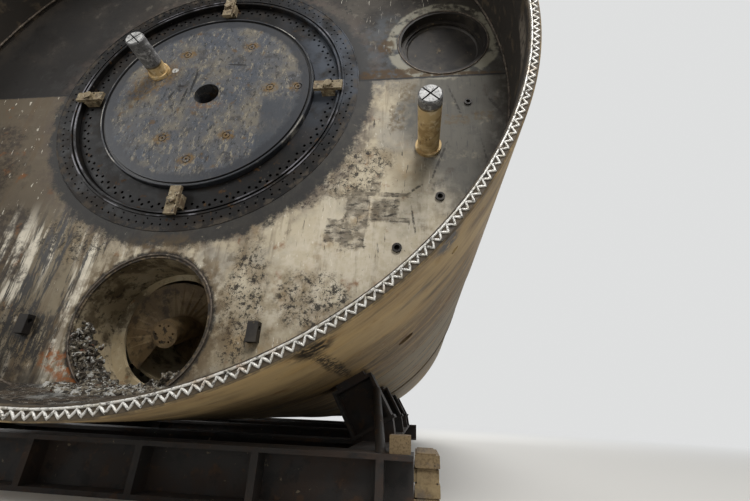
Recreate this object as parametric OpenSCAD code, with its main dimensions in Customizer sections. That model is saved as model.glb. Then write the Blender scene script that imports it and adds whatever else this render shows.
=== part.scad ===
// Shield of a tunnel boring machine with its cutterhead off, standing on a launch cradle.
// Origin: centre of the bearing flange's face, on the shield axis. +X right, the face looks to -Y, +Z up.

/* [Shield] */
// Outer radius of the front shield
shield_r = 3300; // [3250:10:3400]
// Depth of the excavation chamber, from the leading edge back to the bulkhead
chamber_d = 800; // [700:10:900]
// Length of the front shield
front_len = 2940; // [2880:10:3100]
// Length of the middle shield
middle_len = 3220; // [3200:10:3400]
// Length of the tail shield
tail_len = 3480; // [3400:10:3700]
// Skin thickness of the front shield
front_t = 70; // [60:5:80]
// Skin thickness of the middle shield
middle_t = 50; // [40:5:55]
// Skin thickness of the tail shield
tail_t = 40; // [35:5:45]
// Step in radius from one shield to the next
shield_step = 10; // [6:1:14]
// Number of teeth in the welded zigzag of the leading edge
edge_teeth = 300; // [240:10:360]

/* [Bulkhead] */
// Thickness of the bulkhead plates
bulk_t = 80; // [60:5:90]
// Height of the seam between the lower and the upper plate
seam_z = 88; // [70:2:100]
// How far the upper plate lies behind the lower one
seam_step = 40; // [30:2:50]
// Radius of the screw conveyor mouth
mouth_r = 590; // [570:5:600]
// Height of the middle of the screw conveyor mouth above the bottom of the shield
mouth_up = 750; // [740:5:770]
// Diameter of the mixing bars
bar_d = 200; // [160:10:220]

/* [Main drive] */
// Radius of the fixed disc in the middle of the bearing
disc_r = 1205; // [1190:1:1230]
// Outer radius of the turning drive ring
ring_r = 1476; // [1466:1:1482]
// How far the drive ring's face lies behind the bearing flange
ring_recess = 50; // [40:1:60]
// Outer radius of the bearing flange
flange_r = 1689; // [1670:1:1710]
// Radius of the outer row of cutterhead bolts
bolt_row_r = 1424; // [1418:1:1430]
// Cutterhead bolt holes in one row
bolt_count = 75; // [60:1:80]
// Radius of one cutterhead bolt hole
bolt_r = 15; // [12:1:16]
// Gap between turning and fixed parts
run_gap = 6; // [6:1:8]
// Gap at a bearing, a guide or a gland
seat_gap = 0.3; // [0.2:0.1:0.5]

/* [Screw conveyor] */
// Slope of the screw conveyor
screw_slope = 22; // [21:0.5:23]
// Inner radius of the screw casing
casing_r = 475; // [465:5:480]
// Length of the screw casing along its axis
casing_len = 10200; // [10000:50:10600]
// Lead of the auger flight
flight_lead = 630; // [560:10:700]

/* [Lock] */
// How far the middle of the man lock opening stands in from the side of the shield
lock_inset = 708; // [700:2:720]
// Height of the man lock opening
lock_z = 652; // [640:2:664]
// Radius of the man lock opening
lock_r = 458; // [448:2:462]

/* [Thrust] */
// How far the thrust cylinders stand in from the skin of the middle shield
thrust_inset = 290; // [285:1:295]
// Outer radius of a thrust cylinder
barrel_r = 130; // [122:1:134]
// Stroke of the thrust cylinders
stroke = 2000; // [1600:50:2100]

/* [Cradle] */
// Gap between the skin's lowest line and the cradle beams
beam_gap = 100; // [70:5:150]
// Height of the cradle beams
beam_h = 350; // [320:5:360]
// Angle of the saddles below the horizontal
saddle_a = 60; // [59:0.5:61]

/* [Hidden] */

// Facets of the large round forms, of the small ones and of the bolt holes
big = 180;
small = 40;
tiny = 16;

// Stations along the axis
edge_y = -chamber_d;
front_y = edge_y + front_len;
middle_y = front_y + middle_len;
tail_y = middle_y + tail_len;
skin_in = shield_r - front_t;
middle_r = shield_r - shield_step;
middle_in = middle_r - middle_t;
tail_r = middle_r - shield_step;
tail_in = tail_r - tail_t;
// Gap that keeps plates apart which are welded in the real machine
weld_gap = 1;

// Leading edge
edge_band_t = 100;
edge_band_len = 250;
edge_bevel = 30;
bead_h = 16;
bead_w = 24;
tooth_h = 52;
joint_flange_h = 260;
joint_flange_t = 60;

// Holes through the front skin: [distance behind the bulkhead face, angle, radius]
PORT_Y = 0;
PORT_A = 1;
PORT_R = 2;
SKIN_PORTS = [[-385, -38.5, 38], [-385, -141.5, 38], [930, -48.2, 95], [930, -131.8, 95]];

// Screw mouth and shaft tip
mouth_z = mouth_up - shield_r;
tip_y = 344;
tip_z = mouth_z - 26;

// Nozzles of one side of the bulkhead: [angle, distance in from the skin, radius, height]
NOZ_A = 0;
NOZ_IN = 1;
NOZ_R = 2;
NOZ_H = 3;
NOZZLES = [[-28.6, 435, 42, 18], [-41.1, 458, 42, 18], [-5.8, 471, 38, 16]];

// Lifting lugs: [x, z]
LUG_X = 0;
LUG_Z = 1;
LUGS = [[1018, mouth_z - 61], [-1032, mouth_z - 39]];

// Webs behind the bulkhead
RIB_ANGLES = [45, 75, 105, 135, 165, 195, 225, 245, 295, 315, 345];
rib_t = 40;
rib_d = 580;
rib_relief_r = 260;

// Centre of the drive: plugs of the fixed disc, [x, z]
DISC_X = 0;
DISC_Z = 1;
PLUGS = [[721, 51], [401, 696], [-376, 628], [-356, -598], [350, -589], [-16, -878], [1036, 45]];
plug_r = 46;
lip_proud = 8;
lip_w = 24;
groove_w = 18;
groove_d = 20;
disc_bore_r = 141;
housing_end = 700;
housing_back = 780;
housing_r = flange_r - 39;
core_r = 1100;
ring_end = 600;
race_y = 340;
race_w = 120;
bolt_inner_row_r = bolt_row_r - 40;
clamp_r = 1380;
flange_row_r = flange_r - 64;
flange_inner_row_r = flange_r - 119;
motor_circle_r = 1280;
MOTOR_ANGLES = [-18, 18, 54, 90, 126, 162, 198];

// Mixing bars: [x, z, plane the bar stands on, length]
BAR_X = 0;
BAR_Z = 1;
BAR_Y = 2;
BAR_L = 3;
BARS = [[shield_r - 882, -821, 0, 660], [882 - shield_r, -821, 0, 660], [-650, 360, 0, 450]];
bar_collar_t = 34;
tip_groove_w = 14;
tip_groove_d = 14;

// Screw conveyor, measured along its own axis from the tip of the shaft
casing_out = casing_r + 25;
mouth_out = mouth_r + 25;
mouth_len = 450;
auger_r = casing_r - 25;
shaft_r = 130;
outlet_s = casing_len - 1250;
outlet_w = 620;
outlet_drop = 960;
gate_t = 30;

// Man lock
lock_x = shield_r - lock_inset;
chamber_x = lock_x - 145;
chamber_z = lock_z + 28;
chamber_in = 640;
chamber_t = 22;
chamber_end = 1900;
coaming_t = 32;
upper_back = seam_step + bulk_t;
seat_y = upper_back + 30;
seat_r = lock_r - 43;
door_r = lock_r - 18;
door_y = seat_y + 5;
door_t = 40;
pin_r = 18;
hinge_x = lock_x - 472;
hinge_y = door_y + door_t + 20;
hinge_dz = 180;

// Thrust cylinders in pairs: the middle angles of the pairs in each group
thrust_r = middle_in - thrust_inset;
pair_half = 6.5;
PAIRS_TOP = [54, 90, 126];
PAIRS_LEFT = [162, 198];
PAIRS_BOTTOM = [234, 270, 306];
PAIRS_RIGHT = [342, 378];
PAIRS = concat(PAIRS_TOP, PAIRS_LEFT, PAIRS_BOTTOM, PAIRS_RIGHT);
front_frame_y = front_y + 300;
front_frame_t = 60;
barrel_y = front_frame_y + front_frame_t;
rear_frame_y = middle_y - 520;
frame_t = 60;
frame_in = middle_in - 600;
TIE_ANGLES = [0 : 36 : 324];
art_inset = 52;
art_bore_r = 46;
barrel_end = rear_frame_y + frame_t + 60;
rod_r = 85;
rod_gap = 5;
shoe_y = middle_y + 40;
shoe_t = 150;
shoe_in = thrust_r - 110;
shoe_out = thrust_r + 210;

// Erector
erector_frame_y = rear_frame_y + frame_t;
hub_in = 1560;
hub_out = 1760;
hub_y = erector_frame_y + 60;
hub_t = 140;
erector_y = hub_y + hub_t + 30;
erector_t = 200;
erector_in = 1500;
erector_out = 1900;
FRAME_ARMS = [30, 90, 150, 210, 330];
arm_x = 700;
arm_w = 200;
arm_z = -1700;
arm_len = 1500;
yoke_y = erector_y + erector_t + 850;
yoke_d = 400;
head_z = -2250;
head_t = 100;
guide_r = 50;

// Cradle
beam_top = -shield_r - beam_gap;
floor_z = beam_top - beam_h;
beam_w = 300;
rail_x = -beam_top / tan(saddle_a);
beam_end_x = rail_x + 325;
beam_web = 24;
beam_flange = 32;
cross_front_y = -200;
cradle_end = tail_y - 540;
saddle_w = 420;
saddle_d = 360;
saddle_t = 30;
saddle_len = 480;
pad_t = 45;
pad_w = 300;
// Saddles: [place along the axis, radius of the skin they touch]
SAD_Y = 0;
SAD_R = 1;
SADDLES = [[front_y - 1040, shield_r], [front_y + 1260, middle_r], [middle_y + 520, tail_r],
    [tail_y - 1140, tail_r]];

// Turn a form drawn along +Z so that it runs along +Y from a station
module along_y(y) {
    translate([0, y, 0]) rotate([-90, 0, 0]) children();
}

// Carry a form out to a radius at an angle, measured from +X towards +Z
module at_angle(a, r) {
    rotate([0, -a, 0]) translate([r, 0, 0]) children();
}

module tube_y(out_r, in_r, y0, y1, fn = big) {
    along_y(y0) difference() {
        cylinder(r = out_r, h = y1 - y0, $fn = fn);
        translate([0, 0, -1]) cylinder(r = in_r, h = y1 - y0 + 2, $fn = fn);
    }
}

module disc_y(r, y0, y1, fn = big) {
    along_y(y0) cylinder(r = r, h = y1 - y0, $fn = fn);
}

// Revolve an outline of [radius, station] points about the shield axis
module revolved(points, fn = big) {
    rotate([-90, 0, 0]) rotate_extrude($fn = fn) polygon(points);
}

// Place a form in the frame of the screw, its +Z along the auger
module on_screw(s) {
    translate([0, tip_y, tip_z]) rotate([screw_slope - 90, 0, 0]) translate([0, 0, s]) children();
}

// Rolled beam along +X, its lower face at zero
module i_beam(len) {
    translate([0, -beam_w / 2, 0]) cube([len, beam_w, beam_flange]);
    translate([0, -beam_w / 2, beam_h - beam_flange]) cube([len, beam_w, beam_flange]);
    translate([0, -beam_web / 2, beam_flange]) cube([len, beam_web, beam_h - 2 * beam_flange]);
}

// A point of a saddle as [x, z], from its distance along the saddle and across it
function on_saddle(r, across) = [r * cos(saddle_a) + across * sin(saddle_a),
    across * cos(saddle_a) - r * sin(saddle_a)];

// Round bar between two points
module bar_between(p, q, r) {
    v = q - p;
    len = norm(v);
    translate(p) rotate([0, acos(v[2] / len), atan2(v[1], v[0])]) cylinder(r = r, h = len, $fn = small);
}

module front_skin() {
    color("#a08a63") difference() {
        revolved([[shield_r, edge_y + 12], [shield_r, front_y], [shield_r - joint_flange_h, front_y],
            [shield_r - joint_flange_h, front_y - joint_flange_t], [skin_in, front_y - joint_flange_t],
            [skin_in, edge_y + edge_band_len + 40], [shield_r - edge_band_t, edge_y + edge_band_len],
            [shield_r - edge_band_t, edge_y + edge_bevel], [shield_r - edge_band_t + 10, edge_y],
            [shield_r - 12, edge_y]]);
        for (p = SKIN_PORTS) translate([0, p[PORT_Y], 0]) at_angle(p[PORT_A], skin_in - 60)
            rotate([0, 90, 0]) cylinder(r = p[PORT_R], h = front_t + 200, $fn = small);
    }
}

// Welded zigzag: a straight inner bead and a row of teeth out to the skin
module edge_hardfacing() {
    foot_r = shield_r - edge_band_t + 12 + bead_w;
    color("#d8d8d2") along_y(edge_y - bead_h) linear_extrude(bead_h) difference() {
        polygon([for (i = [0 : 2 * edge_teeth - 1]) let(a = 180 * i / edge_teeth,
            r = foot_r + (i % 2) * tooth_h) [r * cos(a), r * sin(a)]]);
        circle(r = foot_r - bead_w, $fn = big);
    }
}

module bulkhead() {
    wide = 2 * shield_r;
    color("#b8ad97") difference() {
        union() {
            intersection() {
                disc_y(skin_in, 0, bulk_t);
                translate([-shield_r, -10, seam_z - wide]) cube([wide, wide, wide]);
            }
            intersection() {
                disc_y(skin_in, seam_step, upper_back);
                translate([-shield_r, -10, seam_z - 90]) cube([wide, wide, wide]);
            }
        }
        disc_y(flange_r, -10, upper_back + 10);
        translate([0, 0, mouth_z]) disc_y(mouth_out, -10, upper_back + 10);
        translate([lock_x, 0, lock_z]) disc_y(lock_r + coaming_t, -10, upper_back + 10);
        for (n = NOZZLES) for (a = [n[NOZ_A], 180 - n[NOZ_A]]) at_angle(a, shield_r - n[NOZ_IN])
            disc_y(n[NOZ_R], -10, upper_back, small);
    }
}

// Radial webs behind the bulkhead, between the drive housing and the skin
module bulkhead_ribs() {
    span = skin_in - housing_r;
    color("#8d8574") for (a = RIB_ANGLES) difference() {
        start = sin(a) < 0 ? bulk_t : upper_back;
        at_angle(a, housing_r) translate([weld_gap, start, -rib_t / 2])
            cube([span - 2 * weld_gap, upper_back + rib_d - start, rib_t]);
        at_angle(a, housing_r + span / 2) translate([0, upper_back + rib_d, -rib_t])
            cylinder(r = rib_relief_r, h = 2 * rib_t, $fn = small);
        disc_y(flange_r + weld_gap, 0, upper_back + weld_gap);
    }
}

module bulkhead_fittings() {
    color("#4b4540") {
        for (n = NOZZLES) for (a = [n[NOZ_A], 180 - n[NOZ_A]]) at_angle(a, shield_r - n[NOZ_IN])
            difference() {
                disc_y(n[NOZ_R], -n[NOZ_H], bulk_t, small);
                disc_y(n[NOZ_R] - 18, -n[NOZ_H] - 1, 30, small);
            }
        for (p = LUGS) translate([p[LUG_X], 0, p[LUG_Z]]) difference() {
            translate([-45, -70, -80]) cube([90, 70, 160]);
            translate([-50, -35, 30]) rotate([0, 90, 0]) cylinder(r = 20, h = 100, $fn = small);
        }
    }
}

// Fixed flange with two raised lips round the drive ring and two rows of holes
module bearing_flange() {
    in_r = ring_r + run_gap;
    lip2 = in_r + lip_w + groove_w;
    color("#2f2c2a") difference() {
        revolved([[in_r, 6 - lip_proud], [in_r + 6, -lip_proud], [in_r + lip_w, -lip_proud],
            [in_r + lip_w, groove_d], [lip2, groove_d], [lip2, -lip_proud], [lip2 + lip_w - 6, -lip_proud],
            [lip2 + lip_w, 0], [flange_r, 0], [flange_r, upper_back], [in_r, upper_back]]);
        for (i = [0 : 119]) at_angle(3 * i, flange_row_r) disc_y(11, -1, 40, tiny);
        for (i = [0 : 71]) at_angle(5 * i + 1.5, flange_inner_row_r) disc_y(9, -1, 40, tiny);
    }
}

module centre_disc() {
    color("#6f7274") difference() {
        revolved([[0, 0], [disc_r - 46, 0], [disc_r - 40, 12], [disc_r - 24, 12], [disc_r - 18, -6],
            [disc_r - 6, -6], [disc_r, 0], [disc_r, 200], [core_r, 200], [core_r, housing_end],
            [0, housing_end]]);
        disc_y(disc_bore_r, -1, 420, small);
        for (p = PLUGS) translate([p[DISC_X], 0, p[DISC_Z]]) {
            tube_y(plug_r, plug_r - 10, -1, 12, small);
            disc_y(12, -1, 20, tiny);
        }
    }
}

// Round bars on a collar, their worn ends split into four by crossed grooves
module mixing_bars() {
    bar_r = bar_d / 2;
    color("#b99f78") for (b = BARS) translate([b[BAR_X], b[BAR_Y], b[BAR_Z]]) difference() {
        tip = -b[BAR_L];
        revolved([[0, tip], [bar_r - 12, tip], [bar_r, tip + 12], [bar_r, -bar_collar_t],
            [bar_r + 22, -bar_collar_t], [bar_r + 22, 0], [0, 0]], small);
        for (s = [45, -45]) rotate([0, s, 0]) translate([-bar_d, tip - 1, -tip_groove_w / 2])
            cube([2 * bar_d, tip_groove_d + 1, tip_groove_w]);
    }
}

module main_drive_housing() {
    in_r = ring_r + run_gap;
    color("#5c6063") {
        difference() {
            revolved([[in_r, upper_back], [housing_r, upper_back], [housing_r, housing_back],
                [250, housing_back], [250, housing_end], [in_r, housing_end], [in_r, race_y + race_w],
                [ring_r + seat_gap, race_y + race_w], [ring_r + seat_gap, race_y], [in_r, race_y]]);
            for (i = [0 : 35]) at_angle(10 * i, housing_r - 50)
                disc_y(18, housing_back - 24, housing_back + 1, tiny);
        }
    }
}

// Gearbox and motor on each driven position; the lowest ones stay free for the screw
module drive_motors() {
    base = housing_back + seat_gap;
    color("#3d5a73") for (a = MOTOR_ANGLES) at_angle(a, motor_circle_r) {
        revolved([[0, base], [285, base], [285, base + 40], [240, base + 40], [240, base + 150],
            [225, base + 170], [225, base + 400], [250, base + 410], [250, base + 450], [205, base + 470],
            [205, base + 1040], [150, base + 1090], [0, base + 1090]], small);
        translate([-110, base + 620, 190]) cube([220, 260, 110]);
    }
}

module rotary_union() {
    color("#707478") {
        revolved([[0, housing_end], [250, housing_end], [250, housing_back], [300, housing_back],
            [300, housing_back + 60], [210, housing_back + 60], [210, housing_back + 420],
            [150, housing_back + 440], [150, housing_back + 700], [0, housing_back + 700]], small);
        for (a = [0 : 60 : 300]) at_angle(a, 200) translate([0, housing_back + 260, 0])
            rotate([0, 90, 0]) cylinder(r = 34, h = 90, $fn = small);
    }
}

module mouth_ring() {
    color("#8a7f6b") translate([0, 0, mouth_z]) tube_y(mouth_out, mouth_r, 0, mouth_len);
}

module screw_casing() {
    flange_out = casing_out + 60;
    front = mouth_len + seat_gap;
    color("#8a7f6b") difference() {
        union() {
            translate([0, 0, mouth_z]) disc_y(mouth_out, front, mouth_len + 30);
            on_screw(120) cylinder(r = casing_out, h = casing_len - 120, $fn = big);
            for (s = [1500 : 2400 : 8700]) on_screw(s) cylinder(r = flange_out, h = 70, $fn = big);
        }
        translate([0, 0, mouth_z]) disc_y(mouth_out + 60, -1, front);
        on_screw(-200) cylinder(r = casing_r, h = casing_len + 300, $fn = big);
        on_screw(outlet_s) translate([-outlet_w / 2 + 20, 0, 0])
            cube([outlet_w - 40, casing_out + 100, outlet_w - 40]);
    }
}

// Gearbox ring and motors on the upper end of the casing
module screw_drive() {
    color("#3d5a73") on_screw(casing_len) difference() {
        union() {
            cylinder(r = casing_out + 130, h = 90, $fn = big);
            translate([0, 0, 90]) cylinder(r = casing_out + 90, h = 360, $fn = big);
            for (a = [0 : 60 : 300]) rotate([0, 0, a]) translate([400, 0, 450]) {
                cylinder(r = 105, h = 330, $fn = small);
                cylinder(r = 130, h = 40, $fn = small);
            }
        }
        translate([0, 0, -1]) cylinder(r = shaft_r + seat_gap, h = 300, $fn = big);
    }
}

module screw_outlet() {
    half = outlet_w / 2;
    color("#8a7f6b") difference() {
        on_screw(outlet_s - 20) translate([-half, 0, 0]) cube([outlet_w, outlet_drop, outlet_w]);
        on_screw(outlet_s) translate([-half + 20, 0, 0]) cube([outlet_w - 40, outlet_drop + 10, outlet_w - 40]);
        on_screw(outlet_s - 30) cylinder(r = casing_out, h = outlet_w + 20, $fn = big);
    }
}

module outlet_gate() {
    half = outlet_w / 2;
    color("#9a9a96") on_screw(outlet_s - 20) translate([-half - 20, outlet_drop + seat_gap, -10]) {
        cube([outlet_w + 40, gate_t, outlet_w + 20]);
        translate([half - 40, gate_t, 60]) cube([120, 60, 120]);
    }
}

module lock_chamber() {
    mid = [chamber_x, 0, chamber_z];
    out_r = chamber_in + chamber_t;
    color("#9b9484") {
        translate(mid) difference() {
            union() {
                disc_y(out_r, upper_back, chamber_end);
                disc_y(out_r + 20, chamber_end - 60, chamber_end);
            }
            disc_y(chamber_in, upper_back - 1, chamber_end - 40);
        }
        translate(mid) {
            tube_y(420, 330, chamber_end, chamber_end + 40, small);
            disc_y(325, chamber_end, chamber_end + 30, small);
        }
    }
}

// Coaming of the man lock opening, with the seat ring and the hinge pins of its door
module lock_coaming() {
    color("#9b9484") {
        translate([lock_x, 0, lock_z]) {
            tube_y(lock_r + coaming_t, lock_r, seam_step, seat_y);
            tube_y(lock_r + 1, seat_r, seat_y - 20, seat_y);
        }
        for (s = [-1, 1]) translate([hinge_x, hinge_y, lock_z + s * hinge_dz]) {
            for (k = [-1, 1]) translate([-22, upper_back - hinge_y, k * 48 - 13])
                cube([44, hinge_y - upper_back + 22, 26]);
            translate([0, 0, -61]) cylinder(r = pin_r, h = 122, $fn = small);
        }
    }
}

module lock_door() {
    back = door_y + door_t;
    color("#37332f") {
        translate([lock_x, 0, lock_z]) {
            revolved([[0, door_y + 14], [seat_r - 30, door_y + 14], [seat_r - 16, door_y], [door_r, door_y],
                [door_r, back], [0, back]]);
            for (a = [0 : 45 : 315]) at_angle(a, 60) translate([0, back, -10]) cube([door_r - 100, 50, 20]);
            disc_y(70, back, back + 70, small);
        }
        for (s = [-1, 1]) translate([hinge_x, hinge_y, lock_z + s * hinge_dz - 28]) difference() {
            union() {
                cylinder(r = pin_r + 14, h = 56, $fn = small);
                translate([0, -20, 8]) cube([210, 40, 40]);
            }
            translate([0, 0, -1]) cylinder(r = pin_r + seat_gap, h = 58, $fn = small);
        }
    }
}

// Spoil left in the bottom of the chamber, sloping down to the leading edge
module spoil_heap() {
    color("#5f5547") difference() {
        intersection() {
            disc_y(shield_r - edge_band_t - 1, edge_y + 160, 0, 4 * big);
            translate([-1300, 0, 240 - shield_r]) rotate([12, 0, 0]) translate([0, -900, -500])
                cube([2400, 960, 500]);
        }
        translate([0, 0, mouth_z]) disc_y(mouth_r - 60, -200, 10);
    }
}

module middle_skin() {
    color("#9d8c6c") revolved([[middle_r, front_y], [middle_r, middle_y], [middle_in, middle_y],
        [middle_in, front_y + joint_flange_t], [middle_r - joint_flange_h, front_y + joint_flange_t],
        [middle_r - joint_flange_h, front_y]]);
}

// Ring plates that carry the thrust cylinders
module ring_frames() {
    color("#857f70") {
        tube_y(middle_in, frame_in, front_frame_y, front_frame_y + front_frame_t);
        difference() {
            tube_y(middle_in, frame_in, rear_frame_y, rear_frame_y + frame_t);
            for (p = PAIRS) for (s = [-1, 1]) at_angle(p + s * pair_half, thrust_r)
                disc_y(barrel_r + 1, rear_frame_y - 1, rear_frame_y + frame_t + 1, small);
            for (a = TIE_ANGLES) at_angle(a, middle_in - art_inset)
                disc_y(art_bore_r, rear_frame_y - 1, rear_frame_y + frame_t + 1, small);
        }
    }
}

// Flat ties between the two ring plates
module frame_ties() {
    tie_y = barrel_y + seat_gap;
    color("#857f70") for (a = TIE_ANGLES) at_angle(a, frame_in) translate([40, tie_y, -15])
        cube([160, rear_frame_y - seat_gap - tie_y, 30]);
}

module thrust_barrels() {
    bore_r = rod_r + rod_gap;
    base = barrel_y + seat_gap;
    collar_y = rear_frame_y + frame_t + 1;
    color("#4d5f6e") for (p = PAIRS) for (s = [-1, 1]) at_angle(p + s * pair_half, thrust_r)
        revolved([[0, base], [barrel_r, base], [barrel_r, collar_y], [barrel_r + 16, collar_y],
            [barrel_r + 16, barrel_end], [rod_r + seat_gap, barrel_end],
            [rod_r + seat_gap, barrel_end - 60], [bore_r, barrel_end - 60], [bore_r, barrel_y + 40],
            [0, barrel_y + 40]], small);
}

module articulation_cylinders() {
    start = rear_frame_y - 560;
    lug_reach = tail_in - middle_in + art_inset - weld_gap;
    color("#4d5f6e") for (a = TIE_ANGLES) at_angle(a, middle_in - art_inset) {
        translate([-45, start - 60, -40]) cube([45 + art_inset - weld_gap, 60, 80]);
        revolved([[0, start], [45, start], [45, middle_y - 110], [22, middle_y - 110], [22, middle_y + 12],
            [0, middle_y + 12]], small);
        translate([-18, middle_y + 2, -30]) cube([18 + lug_reach, 34, 60]);
    }
}

// Plate that carries the screw casing from the lower half of the rear frame
module screw_yoke() {
    y = rear_frame_y - 140;
    s = (y + 70 - tip_y) / cos(screw_slope);
    top_z = tip_z + s * sin(screw_slope) + casing_out / cos(screw_slope) + 75;
    color("#857f70") difference() {
        intersection() {
            disc_y(frame_in + 30, y, y + 140);
            translate([-620, y, -frame_in - 60]) cube([1240, 140, frame_in + 60 + top_z]);
        }
        on_screw(s - 900) cylinder(r = casing_out, h = 1800, $fn = big);
    }
}

// Floors on both sides of the screw, with a handrail along the inner edge
module work_platforms() {
    y0 = front_frame_y + front_frame_t;
    y1 = rear_frame_y;
    z = -900;
    edge_x = 900;
    floor_w = thrust_r - 350 - edge_x;
    color("#7d7a70") for (s = [-1, 1]) {
        x0 = s > 0 ? edge_x : -edge_x - floor_w;
        translate([x0, y0, z - 12]) cube([floor_w, y1 - y0, 12]);
        for (k = [0 : 3]) translate([x0 + k * (floor_w - 80) / 3, y0, z - 92]) cube([80, y1 - y0, 80]);
        for (y = [y0 + 100 : 470 : y1 - 60]) translate([s * 940, y, z]) cylinder(r = 21, h = 1080, $fn = small);
        for (h = [550, 1100]) translate([s * 940, y0, z + h]) rotate([-90, 0, 0])
            cylinder(r = 21, h = y1 - y0, $fn = small);
    }
}

// Thin tail with three joint ribs at its front end
module tail_skin() {
    rib = 2 * shield_step - 2;
    color("#a2906c") union() {
        tube_y(tail_r, tail_in, middle_y, tail_y);
        for (y = [20, 140, 260]) tube_y(tail_r + rib, tail_r - 1, middle_y + y, middle_y + y + 46);
        tube_y(tail_in + 1, tail_in - 20, tail_y - 60, tail_y);
    }
}

// Three rows of wire brush that lean back against the lining
module tail_brushes() {
    color("#8f7a4a") for (y = [tail_y - 820, tail_y - 520, tail_y - 220])
        revolved([[tail_in, y], [tail_in, y + 70], [tail_in - 78, y + 170], [tail_in - 84, y + 120]]);
}

module erector_frame() {
    color("#b7a23c") {
        tube_y(hub_out, hub_in, hub_y, hub_y + hub_t);
        for (a = FRAME_ARMS) at_angle(a, hub_out - 60) translate([0, erector_frame_y + seat_gap, -80])
            cube([frame_in + 150 - hub_out + 60, hub_y - erector_frame_y + 10, 160]);
        for (a = FRAME_ARMS) at_angle(a, 0) translate([0, 0, -20]) linear_extrude(40)
            polygon([[hub_out - 60, hub_y], [frame_in + 60, hub_y], [frame_in - 200, hub_y + 40],
                [hub_out + 120, hub_y + hub_t - 20], [hub_out - 60, hub_y + hub_t - 20]]);
        for (a = [15 : 30 : 345]) at_angle(a, 1660) disc_y(52, hub_y + hub_t - 1, erector_y - seat_gap, small);
    }
}

module ram_group(pairs) {
    color("#b9bdbf") for (p = pairs) {
        for (s = [-1, 1]) at_angle(p + s * pair_half, thrust_r)
            disc_y(rod_r, barrel_y + 200, shoe_y + shoe_t / 2, small);
        rotate([0, -p, 0]) rotate([-90, -17, 0]) translate([0, 0, shoe_y])
            rotate_extrude(angle = 34, $fn = big) translate([shoe_in, 0]) square([shoe_out - shoe_in, shoe_t]);
    }
}
module rams_top() { ram_group(PAIRS_TOP); }
module rams_left() { ram_group(PAIRS_LEFT); }
module rams_bottom() { ram_group(PAIRS_BOTTOM); }
module rams_right() { ram_group(PAIRS_RIGHT); }

module drive_ring() {
    in_r = disc_r + run_gap;
    color("#37332e") difference() {
        revolved([[in_r, ring_recess], [ring_r, ring_recess], [ring_r, ring_end], [in_r, ring_end]]);
        for (i = [0 : bolt_count - 1]) {
            at_angle(360 * i / bolt_count, bolt_row_r)
                disc_y(bolt_r, ring_recess - 1, ring_recess + 80, tiny);
            at_angle(360 * (i + 0.5) / bolt_count, bolt_inner_row_r)
                disc_y(bolt_r, ring_recess - 1, ring_recess + 80, tiny);
        }
    }
}

// Four clamps bolted to the ring for transport, reaching over the disc and the lip
module lock_brackets() {
    top = -lip_proud - run_gap;
    color("#a58d62") for (a = [0 : 90 : 270]) at_angle(a, clamp_r) difference() {
        union() {
            translate([-75, top, -70]) cube([140, ring_recess - top, 140]);
            translate([-155, top - 34, -55]) cube([305, 34, 110]);
            disc_y(42, top - 62, top, small);
        }
        for (x = [-45, 45]) for (z = [-36, 36]) translate([x, 0, z]) disc_y(11, top - 40, top - 10, tiny);
    }
}

module auger() {
    turn = flight_lead;
    sector = 16;
    color("#7a6a52") on_screw(0) {
        difference() {
            cylinder(r = shaft_r, h = casing_len + 280, $fn = big);
            for (a = [0 : 60 : 300]) rotate([0, 0, a]) translate([85, 0, -1]) cylinder(r = 11, h = 31, $fn = tiny);
        }
        for (run = [[40, 3], [outlet_s - 120, 1.5]]) translate([0, 0, run[0]]) rotate([0, 0, 130])
            linear_extrude(height = run[1] * turn, twist = -360 * run[1], slices = 28 * run[1], segments = 5)
                polygon(concat([for (a = [0, sector]) (shaft_r - 8) * [cos(a), sin(a)]],
                    [for (a = [sector, sector / 2, 0]) auger_r * [cos(a), sin(a)]]));
    }
}

module erector_ring() {
    yoke = [2 * arm_x + arm_w, yoke_d, 220];
    color("#c2ab3a") difference() {
        union() {
            tube_y(erector_out, erector_in, erector_y, erector_y + erector_t);
            for (s = [-1, 1]) translate([s * arm_x - arm_w / 2, erector_y + erector_t, arm_z - arm_w / 2])
                cube([arm_w, arm_len, arm_w]);
            translate([-yoke[0] / 2, yoke_y, arm_z - arm_w / 2 - 219]) cube(yoke);
            translate([-600, erector_y + erector_t, 1550]) cube([1200, 260, 300]);
        }
        for (s = [-1, 1]) translate([s * 350, yoke_y + yoke_d / 2, arm_z - 400])
            cylinder(r = guide_r + seat_gap, h = 400, $fn = small);
    }
}

module erector_head() {
    mid_y = yoke_y + yoke_d / 2;
    color("#9fa3a6") {
        translate([-500, mid_y - 400, head_z - head_t]) cube([1000, 800, head_t]);
        translate([-260, mid_y - 160, head_z]) cube([520, 320, 60]);
        for (s = [-1, 1]) translate([s * 350, mid_y, head_z - 20]) cylinder(r = guide_r, h = 760, $fn = small);
    }
}

module cradle_rails() {
    color("#2d2724") for (s = [-1, 1]) translate([s * rail_x, cross_front_y + beam_w, floor_z])
        rotate([0, 0, 90]) i_beam(cradle_end - cross_front_y - 2 * beam_w);
}

module cradle_cross_beams() {
    in_x = rail_x - beam_w / 2;
    post_x = rail_x + 110;
    post_w = 50;
    color("#2d2724") {
        for (y = [cross_front_y + beam_w / 2, cradle_end - beam_w / 2]) translate([-beam_end_x, y, floor_z])
            i_beam(2 * beam_end_x);
        for (p = SADDLES) translate([-in_x, p[SAD_Y], floor_z]) i_beam(2 * in_x);
        for (k = [-1 : 0.4 : 1]) translate([k * post_x - post_w / 2, cross_front_y, floor_z + beam_flange])
            cube([post_w, beam_w, beam_h - 2 * beam_flange]);
    }
}

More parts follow.
